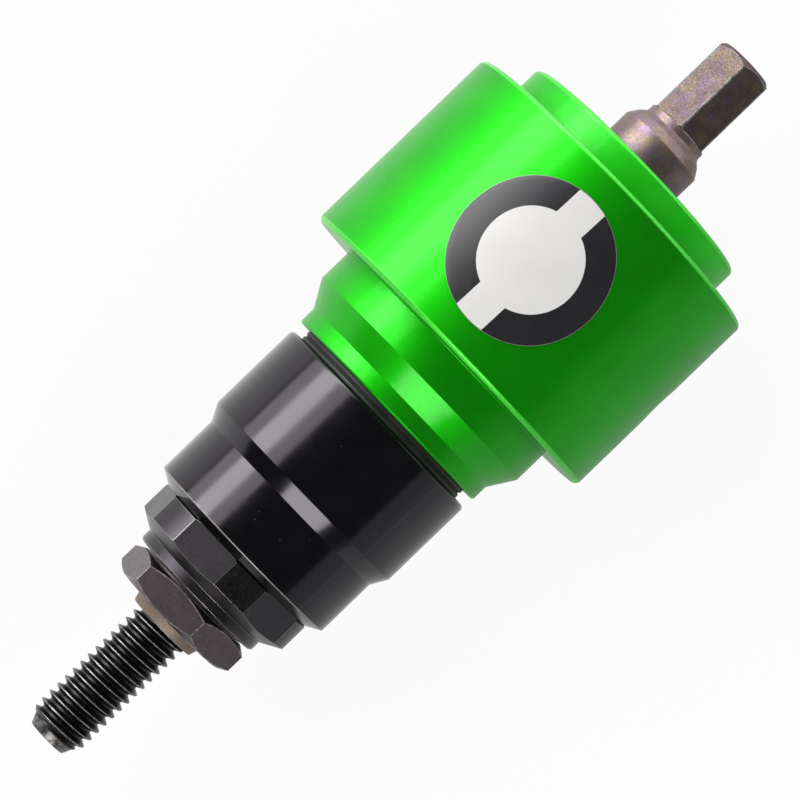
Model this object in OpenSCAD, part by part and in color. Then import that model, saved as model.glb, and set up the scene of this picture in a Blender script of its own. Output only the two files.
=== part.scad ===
// Drill-driven rivet nut setting tool, in millimetres.
// The tool lies along X with its nose to +X. The origin is the centre of the nosepiece's front face, +Z is up.
// Every piece is drawn along a local axis that starts at that face and runs to the rear, then laid down by lie().

/* [Mandrel] */
// Thread diameter of the mandrel
mandrel_d = 8; // [5:0.5:9]
// Length of mandrel that stands out of the nosepiece
mandrel_reach = 19.8; // [12:0.1:40]
// Chamfer at the tip of the mandrel
mandrel_chamfer = 1.1; // [0.4:0.1:1.5]
// Width across the flats of the mandrel's head
mandrel_head_af = 13; // [12:0.5:14]
// Height of the mandrel's head
mandrel_head_h = 5.3; // [3:0.1:8]

/* [Nosepiece] */
// Wall of the boss at its front rim
nose_boss_wall = 0.65; // [0.4:0.05:1.5]
// Growth of the boss radius from its front to its rear
nose_boss_taper = 0.4; // [0:0.05:0.8]
// Height of the boss in front of the hexagon
nose_boss_h = 1.4; // [0.6:0.1:5]
// Width across the flats of the hexagon
nose_hex_af = 17; // [16:0.5:19]
// Height of the hexagon
nose_hex_h = 4.1; // [3:0.1:10]
// Thickness of the washer face behind the hexagon
nose_washer_h = 0.4; // [0.2:0.1:1]
// Outer diameter of the nosepiece thread
nose_thread_d = 14; // [12.5:0.5:15]
// Length of that thread inside the sleeve
nose_thread_l = 6.35; // [4:0.05:10]
// Turn of the hexagon about the axis
nose_hex_turn = 19.5; // [0:0.5:60]

/* [Lock nut] */
// Diameter of the front collar
lock_collar_d = 19.5; // [18:0.1:22]
// Height of the front collar
lock_collar_h = 1.5; // [0.8:0.1:4]
// Height of the cone between collar and flats
lock_cone_h = 1.5; // [0.8:0.1:3]
// Diameter over the round strips between the flats
lock_d = 24.75; // [24:0.05:26.5]
// Width across the six wrench flats
lock_af = 23.55; // [22.5:0.05:23.9]
// Height of the wrench flats
lock_flat_h = 4.05; // [3:0.05:8]
// Turn of the flats about the axis
lock_turn = 15.4; // [0:0.1:60]

/* [Front sleeve] */
// Diameter of the guide bore for the puller
guide_d = 20; // [19:0.1:21.5]
// Wall of the slim front stretch round the guide bore
sleeve_wall = 4.15; // [3:0.05:6]
// Step in radius from the slim stretch to the wide one
sleeve_step = 1.2; // [0.5:0.05:2.5]
// Length of the slim stretch with its front chamfer
sleeve_front_l = 9.3; // [6:0.1:15]
// Length of the cone between the two stretches
sleeve_cone_l = 2.2; // [1:0.1:4]
// Length of the wide stretch
sleeve_rear_l = 12.95; // [9:0.05:20]
// Height of the front chamfer along the axis
sleeve_chamfer_h = 1.1; // [0.5:0.1:2]
// Depth of the front chamfer in radius
sleeve_chamfer_r = 1.85; // [0.8:0.05:2.5]
// Rounding of the rear edge
sleeve_round = 0.6; // [0.2:0.1:1]
// Wall of the threaded tail round the guide bore
tail_wall = 3; // [2.2:0.1:3.8]

/* [Sleeve seal] */
// Height of the seal between sleeve and housing
seal_h = 1.4; // [1:0.1:3]
// Thickness of the seal's ridges in radius
seal_wall = 0.76; // [0.5:0.02:1.2]
// Depth of the groove between the ridges
seal_groove = 0.3; // [0.1:0.05:0.4]

/* [Housing] */
// Wall of the front lip round the sleeve's tail
lip_wall = 2.43; // [1.8:0.01:4]
// Length of the front lip
lip_l = 2.3; // [1:0.1:6]
// Growth in radius over the flare
flare_rise = 2.05; // [1:0.05:3.5]
// Length of the flare
flare_l = 3.4; // [2:0.1:8]
// Length of the neck between flare and body
neck_l = 4.75; // [3:0.05:10]
// Depth from the body's front face to the bearing seat
seat_depth = 1.75; // [1:0.05:4]
// Thickness of the web that carries the thrust bearing
web_h = 4.2; // [3:0.1:6]
// Wall of the body round the bearing
body_wall = 5.55; // [4:0.05:9]
// Chamfer of the body's front edge
body_front_chamfer = 0.5; // [0.2:0.1:1.5]
// Chamfer of the body's rear edge
body_rear_chamfer = 0.4; // [0.2:0.1:1.5]
// Tapped bore of the handle port
port_d = 5.1; // [4:0.1:7]
// Depth of the countersink at the port's mouth
port_countersink = 0.6; // [0.3:0.1:1.2]

/* [Badge] */
// Diameter of the badge
badge_d = 20.7; // [12:0.1:24]
// Thickness of the badge
badge_t = 0.12; // [0.08:0.01:0.3]
// Turn of the badge about the axis
badge_turn = 2.5; // [-30:0.5:30]

/* [Drive] */
// Pulling stroke of the mandrel
stroke = 6; // [3:0.5:9]
// Width across the flats of the puller's hexagon
puller_hex_af = 10; // [8.5:0.1:10.4]
// Solid length of the puller behind the mandrel's head
puller_web = 8.3; // [5:0.1:14]
// Thickness of the cap in the puller
cap_h = 3.5; // [2.5:0.1:6]
// Ledge of the cap round the corners of the mandrel's head
cap_ledge = 0.4; // [0.2:0.05:0.8]
// Thickness of the clutch hub
hub_h = 4; // [3.6:0.1:7]
// Thickness of the snap ring in front of the hub
hub_ring_t = 0.8; // [0.6:0.1:1.2]
// Width of that snap ring
hub_ring_w = 1.3; // [1:0.1:1.6]
// Length of drum in front of that snap ring
hub_ring_lead = 0.5; // [0.3:0.1:1.5]
// Cross-section of the friction rings
friction_ring_d = 1.5; // [1.2:0.1:1.6]
// Wall of the drum round the clutch
drum_wall = 1.55; // [1.3:0.05:1.6]
// Step in radius from the clutch to the lead-screw nut
nut_step = 0.5; // [0.3:0.05:1]
// Length of the lead-screw nut
nut_l = 7; // [5:0.1:12]
// Diameter of the pins that lock the nut
nut_pin_d = 2; // [1.2:0.1:2.4]
// Thickness of the drum's flange
flange_h = 4; // [3:0.1:4.4]
// Floor behind the screw's blind bore
bore_floor = 1; // [0.8:0.1:4]

/* [Thrust bearing] */
// Bore of the thrust bearing
thrust_id = 20; // [19.6:0.1:20.6]
// Outer diameter of the thrust bearing
thrust_od = 35; // [34:0.1:38]
// Height of the thrust bearing
thrust_h = 10; // [9:0.1:14]
// Thickness of each washer
thrust_washer_h = 3; // [2.4:0.1:3.2]
// Diameter of its balls
thrust_ball_d = 5.5; // [4.8:0.1:5.6]
// Number of its balls
thrust_balls_n = 14; // [8:1:14]

/* [Rear cover and bearing] */
// Length of the boss behind the housing
cover_boss_l = 4.15; // [2.5:0.05:6]
// Chamfer of the boss edge
cover_chamfer = 0.4; // [0.2:0.1:1.5]
// Outer diameter of the rear bearing
rear_od = 24; // [22:0.1:26]
// Width of the rear bearing
rear_w = 6; // [5:0.1:9]
// Diameter of its balls
rear_ball_d = 4; // [3:0.1:4.2]
// Number of its balls
rear_balls_n = 11; // [6:1:11]
// Thickness of the snap ring in front of the bearing
rear_ring_t = 1.1; // [0.8:0.1:1.6]
// Length of the plug in front of the snap ring
cover_land = 1.7; // [1:0.1:3]
// Thickness of the lip between bearing and shaft seal
cover_lip = 0.5; // [0.4:0.1:2]
// Step in radius from the bearing to the pocket of the shaft seal
seal_step = 1; // [0.5:0.1:2]
// Step in radius from the bearing to the lip's hole
lip_step = 2; // [1.2:0.1:3]
// Depth of the snap ring's groove round the bearing
rear_ring_depth = 0.8; // [0.5:0.05:1.2]
// Width of that snap ring
rear_ring_w = 2; // [1.5:0.1:2.5]
// Depth of the pocket for the shaft seal
seal_pocket_h = 2.6; // [1.8:0.1:5]
// Cross-section of the cover's O-ring
cover_ring_d = 1.5; // [1:0.1:2]
// Diameter of the two spanner holes
spanner_hole_d = 3; // [2:0.1:4]

/* [Shank] */
// Diameter of the journal
journal_d = 12; // [11:0.1:13]
// Length of journal outside the cover
journal_out = 4.5; // [2:0.1:12]
// Length of the neck between journal and collar
shank_neck_l = 1.9; // [1:0.1:5]
// Length of the collar in front of the hexagon
shank_collar_l = 1.1; // [0.6:0.1:4]
// Diameter of that collar
shank_collar_d = 8.75; // [8:0.05:9.2]
// Width across the flats of the hex shank
shank_af = 8; // [7:0.1:9]
// Length of the hex shank
shank_l = 11.7; // [8:0.1:30]
// Chamfer at the end of the hex shank
shank_chamfer = 1.1; // [0.3:0.1:1.5]

/* [Fits] */
// Radial gap between pieces that are screwed or pressed together
seat_gap = 0.02; // [0.01:0.01:0.05]
// Radial gap of running and sliding fits
run_gap = 0.05; // [0.03:0.01:0.1]
// Gap at shoulders that turn against each other
face_gap = 0.1; // [0.05:0.01:0.2]
// Free depth at the bottom of bores
end_gap = 0.3; // [0.2:0.05:0.5]
// Radial gap round the mandrel
mandrel_gap = 0.2; // [0.1:0.05:0.4]
// Radial room between turning and fixed walls
wall_room = 0.5; // [0.3:0.05:0.8]

/* [Hidden] */
$fn = 96;

// Stations along the axis, from the nose to the rear
nose_hex_z = nose_boss_h;
nose_hex_end_z = nose_hex_z + nose_hex_h;
lock_z = nose_hex_end_z + nose_washer_h;
lock_cone_z = lock_z + lock_collar_h;
lock_flat_z = lock_cone_z + lock_cone_h;
sleeve_z = lock_flat_z + lock_flat_h;
sleeve_cone_z = sleeve_z + sleeve_front_l;
sleeve_wide_z = sleeve_cone_z + sleeve_cone_l;
sleeve_end_z = sleeve_wide_z + sleeve_rear_l;
housing_z = sleeve_end_z + seal_h;
flare_z = housing_z + lip_l;
neck_z = flare_z + flare_l;
body_z = neck_z + neck_l;
seat_z = body_z + seat_depth;
web_z = seat_z - web_h;
tail_end_z = web_z - end_gap;
flange_z = seat_z + thrust_h;
hub_ring_z = web_z + hub_ring_lead;
hub_z = hub_ring_z + hub_ring_t + face_gap;
hub_end_z = hub_z + hub_h;
drum_step_z = hub_end_z + face_gap;
nut_z = hub_end_z + stroke + end_gap;
nut_end_z = nut_z + nut_l;
screw_bore_end_z = nut_end_z + stroke + end_gap;
bearing_z = screw_bore_end_z + bore_floor;
bearing_end_z = bearing_z + rear_w;
seal_pocket_z = bearing_end_z + cover_lip;
cover_end_z = seal_pocket_z + seal_pocket_h;
body_end_z = cover_end_z - cover_boss_l;
plug_z = bearing_z - rear_ring_t - cover_land;
journal_end_z = cover_end_z + journal_out;
collar_z = journal_end_z + shank_neck_l;
shank_z = collar_z + shank_collar_l;
shank_end_z = shank_z + shank_l;
port_z = (body_z + body_end_z) / 2;
sleeve_land_z = sleeve_z + nose_thread_l + end_gap;
puller_z = sleeve_land_z + end_gap;
head_z = puller_z + cap_h;
head_end_z = head_z + mandrel_head_h;
guide_end_z = head_end_z + puller_web;

// Radii
mandrel_r = mandrel_d / 2;
nose_bore_r = mandrel_r + mandrel_gap;
nose_thread_r = nose_thread_d / 2;
guide_r = guide_d / 2;
sleeve_front_r = guide_r + sleeve_wall;
sleeve_rear_r = sleeve_front_r + sleeve_step;
tail_r = guide_r + tail_wall;
lip_r = tail_r + lip_wall;
neck_r = lip_r + flare_rise;
thrust_r = thrust_od / 2;
cavity_r = thrust_r + seat_gap;
body_r = cavity_r + body_wall;
plug_r = cavity_r - seat_gap;
drum_r = thrust_id / 2 - seat_gap;
drum_room_r = drum_r + wall_room;
clutch_r = drum_r - drum_wall;
hub_groove_r = clutch_r - run_gap - friction_ring_d - seat_gap;
nut_r = clutch_r - nut_step;
screw_r = puller_hex_af / 2;
screw_room_r = screw_r + end_gap;
flange_r = cavity_r - wall_room;
journal_r = journal_d / 2;
rear_r = rear_od / 2;
rear_pitch_r = (rear_r + journal_r) / 2;
rear_shoulder_r = rear_pitch_r - rear_ball_d / 4;
thrust_inner_r = thrust_id / 2;
thrust_pitch_r = (thrust_id + thrust_od) / 4;
head_corner_r = corner_r(mandrel_head_af) + mandrel_gap;
cap_r = head_corner_r + cap_ledge;
seal_pocket_r = rear_r - seal_step;
edge = 0.25;

// Finishes
green = [0.10, 0.70, 0.12];
black_oxide = [0.09, 0.09, 0.10];
phosphate = [0.38, 0.33, 0.30];
bright_steel = [0.72, 0.73, 0.75];
bronze = [0.72, 0.52, 0.26];
rubber = [0.05, 0.05, 0.05];

// Distance from the centre of a hexagon to its corners
function corner_r(af) = af / 2 / cos(30);

// A quarter round as points, from the direction "from" through a quarter turn
function quarter(cx, cy, r, from, steps = 4) =
    [for (i = [0 : steps]) [cx + r * cos(from + 90 * i / steps), cy + r * sin(from + 90 * i / steps)]];

// Lays a piece that is drawn along Z on to the tool's axis, front to +X
module lie() {
    rotate([0, -90, 0]) children();
}

// A turned piece from points of radius and station
module turned(points) {
    rotate_extrude() polygon(points);
}

// A plain ring
module ring(inner_r, outer_r, z, h) {
    translate([0, 0, z]) difference() {
        cylinder(r = outer_r, h = h);
        translate([0, 0, -1]) cylinder(r = inner_r, h = h + 2);
    }
}

// A round bar along the axis, or a hole where it is taken away
module round_bar(r, z, h) {
    translate([0, 0, z]) cylinder(r = r, h = h);
}

// A hexagon bar along the axis
module hex_bar(af, z, h, turn = 0) {
    translate([0, 0, z]) rotate([0, 0, turn]) cylinder(r = corner_r(af), h = h, $fn = 6);
}

// An O-ring by its centre circle, cross-section and middle station
module o_ring(centre_r, d, z) {
    translate([0, 0, z]) rotate_extrude() translate([centre_r, 0]) circle(d = d, $fn = 48);
}

// A ring of balls
module ball_ring(count, pitch_r, d, z) {
    for (i = [0 : count - 1])
        rotate([0, 0, 360 * i / count]) translate([pitch_r, 0, z]) sphere(d = d);
}

// An open snap ring with two lugs, which stand inwards
module snap_ring(outer_r, width, lug_r, z, h) {
    opening = 36;
    lug_turn = 28;
    translate([0, 0, z]) difference() {
        union() {
            ring(outer_r - width, outer_r, 0, h);
            intersection() {
                ring(outer_r - 1.6 * width, outer_r, 0, h);
                for (side = [-1, 1])
                    rotate([0, 0, side * lug_turn])
                        translate([outer_r - 1.1 * width, 0, 0]) cylinder(r = lug_r, h = h);
            }
        }
        linear_extrude(height = 3 * h, center = true)
            polygon([[0, 0], for (side = [-1, 1]) 2 * outer_r * [cos(opening / 2), side * sin(opening / 2)]]);
    }
}

module main_housing() {
    tail_bore_r = tail_r + seat_gap;
    countersink_r = port_d / 2 + port_countersink;
    color(green) lie() difference() {
        turned([
            [tail_bore_r, housing_z],
            [lip_r - edge, housing_z],
            [lip_r, housing_z + edge],
            [lip_r, flare_z],
            [neck_r, neck_z],
            [neck_r, body_z],
            [body_r - body_front_chamfer, body_z],
            [body_r, body_z + body_front_chamfer],
            [body_r, body_end_z - body_rear_chamfer],
            [body_r - body_rear_chamfer, body_end_z],
            [cavity_r, body_end_z],
            [cavity_r, seat_z],
            [drum_room_r, seat_z],
            [drum_room_r, web_z],
            [tail_bore_r, web_z]
        ]);
        translate([0, 0, port_z]) rotate([-90, 0, 0]) {
            cylinder(d = port_d, h = 2 * body_r);
            translate([0, 0, body_r - port_countersink])
                cylinder(r1 = port_d / 2, r2 = countersink_r + 1, h = port_countersink + 1);
        }
    }
}

module rear_cover() {
    pocket_r = rear_r + seat_gap;
    ring_groove_r = pocket_r + rear_ring_depth;
    o_groove_r = plug_r - cover_ring_d - seat_gap;
    o_groove_z = body_end_z - 2 * cover_ring_d;
    lip_hole_r = rear_r - lip_step;
    spanner_r = (seal_pocket_r + plug_r) / 2;
    color(green) lie() difference() {
        turned([
            [pocket_r, plug_z],
            [plug_r - edge, plug_z],
            [plug_r, plug_z + edge],
            [plug_r, o_groove_z],
            [o_groove_r, o_groove_z],
            [o_groove_r, o_groove_z + 1.2 * cover_ring_d],
            [plug_r, o_groove_z + 1.2 * cover_ring_d],
            [plug_r, cover_end_z - cover_chamfer],
            [plug_r - cover_chamfer, cover_end_z],
            [seal_pocket_r, cover_end_z],
            [seal_pocket_r, seal_pocket_z],
            [lip_hole_r, seal_pocket_z],
            [lip_hole_r, bearing_end_z],
            [pocket_r, bearing_end_z],
            [pocket_r, bearing_z],
            [ring_groove_r, bearing_z],
            [ring_groove_r, bearing_z - rear_ring_t],
            [pocket_r, bearing_z - rear_ring_t]
        ]);
        for (side = [-1, 1])
            translate([0, side * spanner_r, cover_end_z - seal_pocket_h])
                cylinder(d = spanner_hole_d, h = seal_pocket_h + 1);
    }
}

// The badge's outline as it looks from straight above, when a round sticker is laid round the body
function wrapped_circle(r, points = 60) =
    [for (i = [0 : points - 1])
        let (a = 360 * i / points) [r * cos(a), body_r * sin(r * sin(a) / body_r * 180 / PI)]];

module badge() {
    color("white") lie() rotate([0, 0, -badge_turn]) intersection() {
        ring(body_r, body_r + badge_t, body_z, body_end_z - body_z);
        translate([0, 0, port_z]) rotate([0, 90, 0])
            linear_extrude(height = 2 * body_r) polygon(wrapped_circle(badge_d / 2));
    }
}

module sleeve_seal() {
    ridge_r = tail_r + seal_wall;
    inner_r = tail_r + seat_gap;
    color(rubber) lie() turned([
        [inner_r, sleeve_end_z],
        [ridge_r, sleeve_end_z],
        [ridge_r, sleeve_end_z + 0.35 * seal_h],
        [ridge_r - seal_groove, sleeve_end_z + 0.5 * seal_h],
        [ridge_r, sleeve_end_z + 0.65 * seal_h],
        [ridge_r, housing_z],
        [inner_r, housing_z]
    ]);
}

module front_sleeve() {
    thread_r = nose_thread_r + seat_gap;
    color(black_oxide) lie() turned(concat([
        [thread_r, sleeve_z],
        [sleeve_front_r - sleeve_chamfer_r, sleeve_z],
        [sleeve_front_r, sleeve_z + sleeve_chamfer_h],
        [sleeve_front_r, sleeve_cone_z],
        [sleeve_rear_r, sleeve_wide_z]
        ],
        quarter(sleeve_rear_r - sleeve_round, sleeve_end_z - sleeve_round, sleeve_round, 0),
        [
        [tail_r, sleeve_end_z],
        [tail_r, tail_end_z - edge],
        [tail_r - edge, tail_end_z],
        [guide_r, tail_end_z],
        [guide_r, sleeve_land_z],
        [thread_r, sleeve_land_z]
    ]));
}

module lock_nut() {
    collar_r = lock_collar_d / 2;
    nut_outer_r = lock_d / 2;
    color(black_oxide) lie() difference() {
        intersection() {
            turned([
                [0, lock_z],
                [collar_r - edge, lock_z],
                [collar_r, lock_z + edge],
                [collar_r, lock_cone_z],
                [nut_outer_r, lock_flat_z],
                [nut_outer_r, sleeve_z - edge],
                [nut_outer_r - edge, sleeve_z],
                [0, sleeve_z]
            ]);
            hex_bar(lock_af, lock_z - 1, sleeve_z - lock_z + 2, lock_turn);
        }
        round_bar(nose_thread_r + seat_gap, lock_z - 1, sleeve_z - lock_z + 2);
    }
}

// A revolved form that chamfers both ends of a hexagon at 30 degrees, as on a nut
module hex_chamfers(af, z, h) {
    face_r = af / 2 - 0.15;
    corner = corner_r(af) + 0.5;
    rise = (corner - face_r) * tan(30);
    turned([[0, z], [face_r, z], [corner, z + rise], [corner, z + h - rise], [face_r, z + h], [0, z + h]]);
}

module nosepiece() {
    boss_r = nose_bore_r + nose_boss_wall;
    washer_r = nose_hex_af / 2 - 0.5;
    thread_end_z = sleeve_z + nose_thread_l;
    color(phosphate) lie() difference() {
        union() {
            turned([
                [0, 0],
                [boss_r, 0],
                [boss_r + nose_boss_taper, nose_hex_z],
                [boss_r + nose_boss_taper, nose_hex_z + 1],
                [0, nose_hex_z + 1]
            ]);
            turned([
                [0, nose_hex_end_z - 1],
                [washer_r, nose_hex_end_z - 1],
                [washer_r, lock_z],
                [nose_thread_r, lock_z],
                [nose_thread_r, thread_end_z - edge],
                [nose_thread_r - edge, thread_end_z],
                [0, thread_end_z]
            ]);
            intersection() {
                hex_bar(nose_hex_af, nose_hex_z, nose_hex_h, nose_hex_turn);
                hex_chamfers(nose_hex_af, nose_hex_z, nose_hex_h);
            }
        }
        round_bar(nose_bore_r, -1, thread_end_z + 2);
    }
}

module mandrel() {
    shank_r = 0.9 * mandrel_r;
    color(black_oxide) lie() {
        turned([
            [0, -mandrel_reach],
            [mandrel_r - mandrel_chamfer, -mandrel_reach],
            [mandrel_r, mandrel_chamfer - mandrel_reach],
            [mandrel_r, 0],
            [shank_r, mandrel_r - shank_r],
            [shank_r, head_z],
            [0, head_z]
        ]);
        intersection() {
            hex_bar(mandrel_head_af, head_z, mandrel_head_h);
            turned([
                [0, head_z],
                [corner_r(mandrel_head_af) + 1, head_z],
                [corner_r(mandrel_head_af) + 1, head_end_z - 1],
                [mandrel_head_af / 2 - 0.2, head_end_z],
                [0, head_end_z]
            ]);
        }
    }
}

module puller_cap() {
    pin_hole_r = (nose_bore_r + cap_r) / 2;
    color(bright_steel) lie() difference() {
        round_bar(cap_r - seat_gap, puller_z, cap_h);
        round_bar(nose_bore_r, puller_z - 1, cap_h + 2);
        for (side = [-1, 1])
            translate([side * pin_hole_r, 0, 0]) round_bar(0.2 * (cap_r - nose_bore_r), puller_z - 1, cap_h);
    }
}

module puller() {
    guide_outer_r = guide_r - run_gap;
    color(bright_steel) lie() difference() {
        union() {
            turned([
                [0, puller_z],
                [guide_outer_r - edge, puller_z],
                [guide_outer_r, puller_z + edge],
                [guide_outer_r, guide_end_z - edge],
                [guide_outer_r - edge, guide_end_z],
                [screw_r, guide_end_z],
                [screw_r, nut_end_z - edge],
                [screw_r - edge, nut_end_z],
                [0, nut_end_z]
            ]);
            hex_bar(puller_hex_af, guide_end_z - edge, hub_end_z - guide_end_z + edge);
        }
        round_bar(cap_r, puller_z - 1, cap_h + 1);
        hex_bar(mandrel_head_af + 2 * run_gap, puller_z, head_end_z - puller_z);
    }
}

module clutch_hub() {
    hub_r = clutch_r - face_gap;
    color(bronze) lie() difference() {
        round_bar(hub_r, hub_z, hub_h);
        hex_bar(puller_hex_af + 2 * run_gap, hub_z - 1, hub_h + 2);
        for (z = friction_ring_stations)
            ring(hub_groove_r, hub_r + 1, z - 0.55 * friction_ring_d, 1.1 * friction_ring_d);
    }
}

// Middles of the two friction rings
friction_ring_stations = [hub_z + hub_h / 4, hub_z + 3 * hub_h / 4];

module clutch_rings() {
    color(rubber) lie()
        for (z = friction_ring_stations)
            o_ring(clutch_r - run_gap - friction_ring_d / 2, friction_ring_d, z);
}

module clutch_snap_ring() {
    color(bright_steel) lie()
        snap_ring(clutch_r + drum_wall / 3 - run_gap, hub_ring_w, 0.85 * hub_ring_w,
            hub_ring_z + run_gap, hub_ring_t - 2 * run_gap);
}

module drive_nut() {
    color(bronze) lie() difference() {
        round_bar(nut_r - seat_gap, nut_z, nut_l);
        round_bar(screw_r + run_gap, nut_z - 1, nut_l + 2);
        nut_pin_holes();
    }
}

// Places of the two pins on the joint between nut and drum
module at_nut_pins() {
    for (side = [-1, 1])
        translate([0, side * nut_r, nut_z]) children();
}

module nut_pin_holes() {
    at_nut_pins() cylinder(d = nut_pin_d, h = nut_l);
}

module nut_pins() {
    color(bright_steel) lie() at_nut_pins() cylinder(d = nut_pin_d - 2 * seat_gap, h = nut_l);
}

module input_shaft() {
    shoulder_r = rear_shoulder_r - 0.3;
    neck_r_mid = (journal_r + shank_collar_d / 2) / 2;
    color(phosphate) lie() difference() {
        union() {
            turned([
                [clutch_r, web_z],
                [drum_r - edge, web_z],
                [drum_r, web_z + edge],
                [drum_r, flange_z],
                [flange_r, flange_z],
                [flange_r, flange_z + flange_h],
                [drum_r, flange_z + flange_h],
                [drum_r, max(flange_z + flange_h, nut_end_z) + 1],
                [shoulder_r, screw_bore_end_z - 1],
                [shoulder_r, bearing_z],
                [journal_r, bearing_z],
                [journal_r, journal_end_z - edge],
                [journal_r - edge, journal_end_z],
                [neck_r_mid, journal_end_z + 0.6 * shank_neck_l],
                [shank_collar_d / 2, collar_z],
                [shank_collar_d / 2, shank_z],
                [0, shank_z],
                [0, screw_bore_end_z],
                [screw_room_r, screw_bore_end_z],
                [screw_room_r, nut_end_z],
                [nut_r, nut_end_z],
                [nut_r, drum_step_z],
                [clutch_r, drum_step_z]
            ]);
            intersection() {
                hex_bar(shank_af, shank_z - 0.1, shank_l + 0.1);
                turned([
                    [0, shank_z - 0.1],
                    [corner_r(shank_af) - 0.3, shank_z - 0.1],
                    [corner_r(shank_af) + 0.1, shank_z + 0.3],
                    [corner_r(shank_af) + 0.1, shank_end_z - shank_chamfer],
                    [corner_r(shank_af) + 0.1 - shank_chamfer, shank_end_z],
                    [0, shank_end_z]
                ]);
            }
        }
        ring(clutch_r - 1, clutch_r + drum_wall / 3, hub_ring_z, hub_ring_t);
        nut_pin_holes();
    }
}

// One washer of the thrust bearing. Its ball groove lies on the station ball_z
module thrust_washer(inner_r, outer_r, z, ball_z) {
    difference() {
        ring(inner_r, outer_r, z, thrust_washer_h);
        o_ring(thrust_pitch_r, thrust_ball_d + 2 * run_gap, ball_z);
    }
}

thrust_ball_z = seat_z + thrust_h / 2;

module thrust_washer_front() {
    color(bright_steel) lie() thrust_washer(drum_room_r, thrust_r, seat_z, thrust_ball_z);
}

module thrust_washer_rear() {
    color(bright_steel) lie()
        thrust_washer(thrust_inner_r, flange_r, flange_z - thrust_washer_h, thrust_ball_z);
}

module thrust_cage() {
    cage_h = thrust_h - 2 * thrust_washer_h - 4 * end_gap;
    color(bronze) lie() difference() {
        ring(drum_r + end_gap, cavity_r - end_gap, thrust_ball_z - cage_h / 2, cage_h);
        for (i = [0 : thrust_balls_n - 1])
            rotate([0, 0, 360 * i / thrust_balls_n]) translate([thrust_pitch_r, 0, thrust_ball_z])
                sphere(d = thrust_ball_d + face_gap);
    }
}

module thrust_balls() {
    color(bright_steel) lie() ball_ring(thrust_balls_n, thrust_pitch_r, thrust_ball_d, thrust_ball_z);
}

rear_ball_z = bearing_z + rear_w / 2;

// One ring of the rear bearing with its ball groove
module rear_bearing_ring(inner_r, outer_r) {
    difference() {
        ring(inner_r, outer_r, bearing_z, rear_w);
        o_ring(rear_pitch_r, rear_ball_d + 2 * run_gap, rear_ball_z);
    }
}

module rear_bearing_outer() {
    color(bright_steel) lie() rear_bearing_ring(rear_pitch_r + rear_ball_d / 4, rear_r);
}

module rear_bearing_inner() {
    color(bright_steel) lie() rear_bearing_ring(journal_r + seat_gap, rear_shoulder_r);
}

module rear_bearing_cage() {
    half_wall = rear_ball_d / 4 - end_gap;
    cage_h = rear_w - 4 * end_gap;
    color(bronze) lie() difference() {
        ring(rear_pitch_r - half_wall, rear_pitch_r + half_wall, rear_ball_z - cage_h / 2, cage_h);
        for (i = [0 : rear_balls_n - 1])
            rotate([0, 0, 360 * i / rear_balls_n]) translate([rear_pitch_r - 2 * half_wall, 0, rear_ball_z])
                rotate([0, 90, 0]) cylinder(d = rear_ball_d + face_gap, h = 4 * half_wall);
    }
}

module rear_bearing_balls() {
    color(bright_steel) lie() ball_ring(rear_balls_n, rear_pitch_r, rear_ball_d, rear_ball_z);
}

module bearing_snap_ring() {
    color(bright_steel) lie()
        snap_ring(rear_r + rear_ring_depth - run_gap, rear_ring_w, 0.8 * rear_ring_w,
            bearing_z - rear_ring_t + run_gap, rear_ring_t - run_gap);
}

module shaft_seal() {
    case_r = seal_pocket_r - seat_gap;
    lip_r = journal_r + run_gap;
    color(rubber) lie() turned([
        [lip_r, cover_end_z - end_gap],
        [lip_r, cover_end_z - end_gap - 0.4 * seal_pocket_h],
        [lip_r + 0.8, cover_end_z - end_gap - 0.5 * seal_pocket_h],
        [case_r - 1.2, cover_end_z - end_gap - 0.5 * seal_pocket_h],
        [case_r - 1.2, seal_pocket_z],
        [case_r, seal_pocket_z],
        [case_r, cover_end_z - end_gap]
    ]);
}

module cover_o_ring() {
    color(rubber) lie()
        o_ring(plug_r - cover_ring_d / 2, cover_ring_d, body_end_z - 1.4 * cover_ring_d);
}

main_housing();
rear_cover();
badge();
sleeve_seal();
front_sleeve();
lock_nut();
nosepiece();
thrust_washer_front();
rear_bearing_outer();
bearing_snap_ring();
shaft_seal();
cover_o_ring();
input_shaft();
drive_nut();
nut_pins();
thrust_washer_rear();
rear_bearing_inner();
clutch_snap_ring();
clutch_hub();
clutch_rings();
puller();
puller_cap();
mandrel();
thrust_cage();
thrust_balls();
rear_bearing_cage();
rear_bearing_balls();
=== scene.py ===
"""Looks of a drill-driven rivet nut tool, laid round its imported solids.

The tool lies along X with its nose to +X. A station is a distance behind the nosepiece's front face.
Lengths are in metres.
"""

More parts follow.
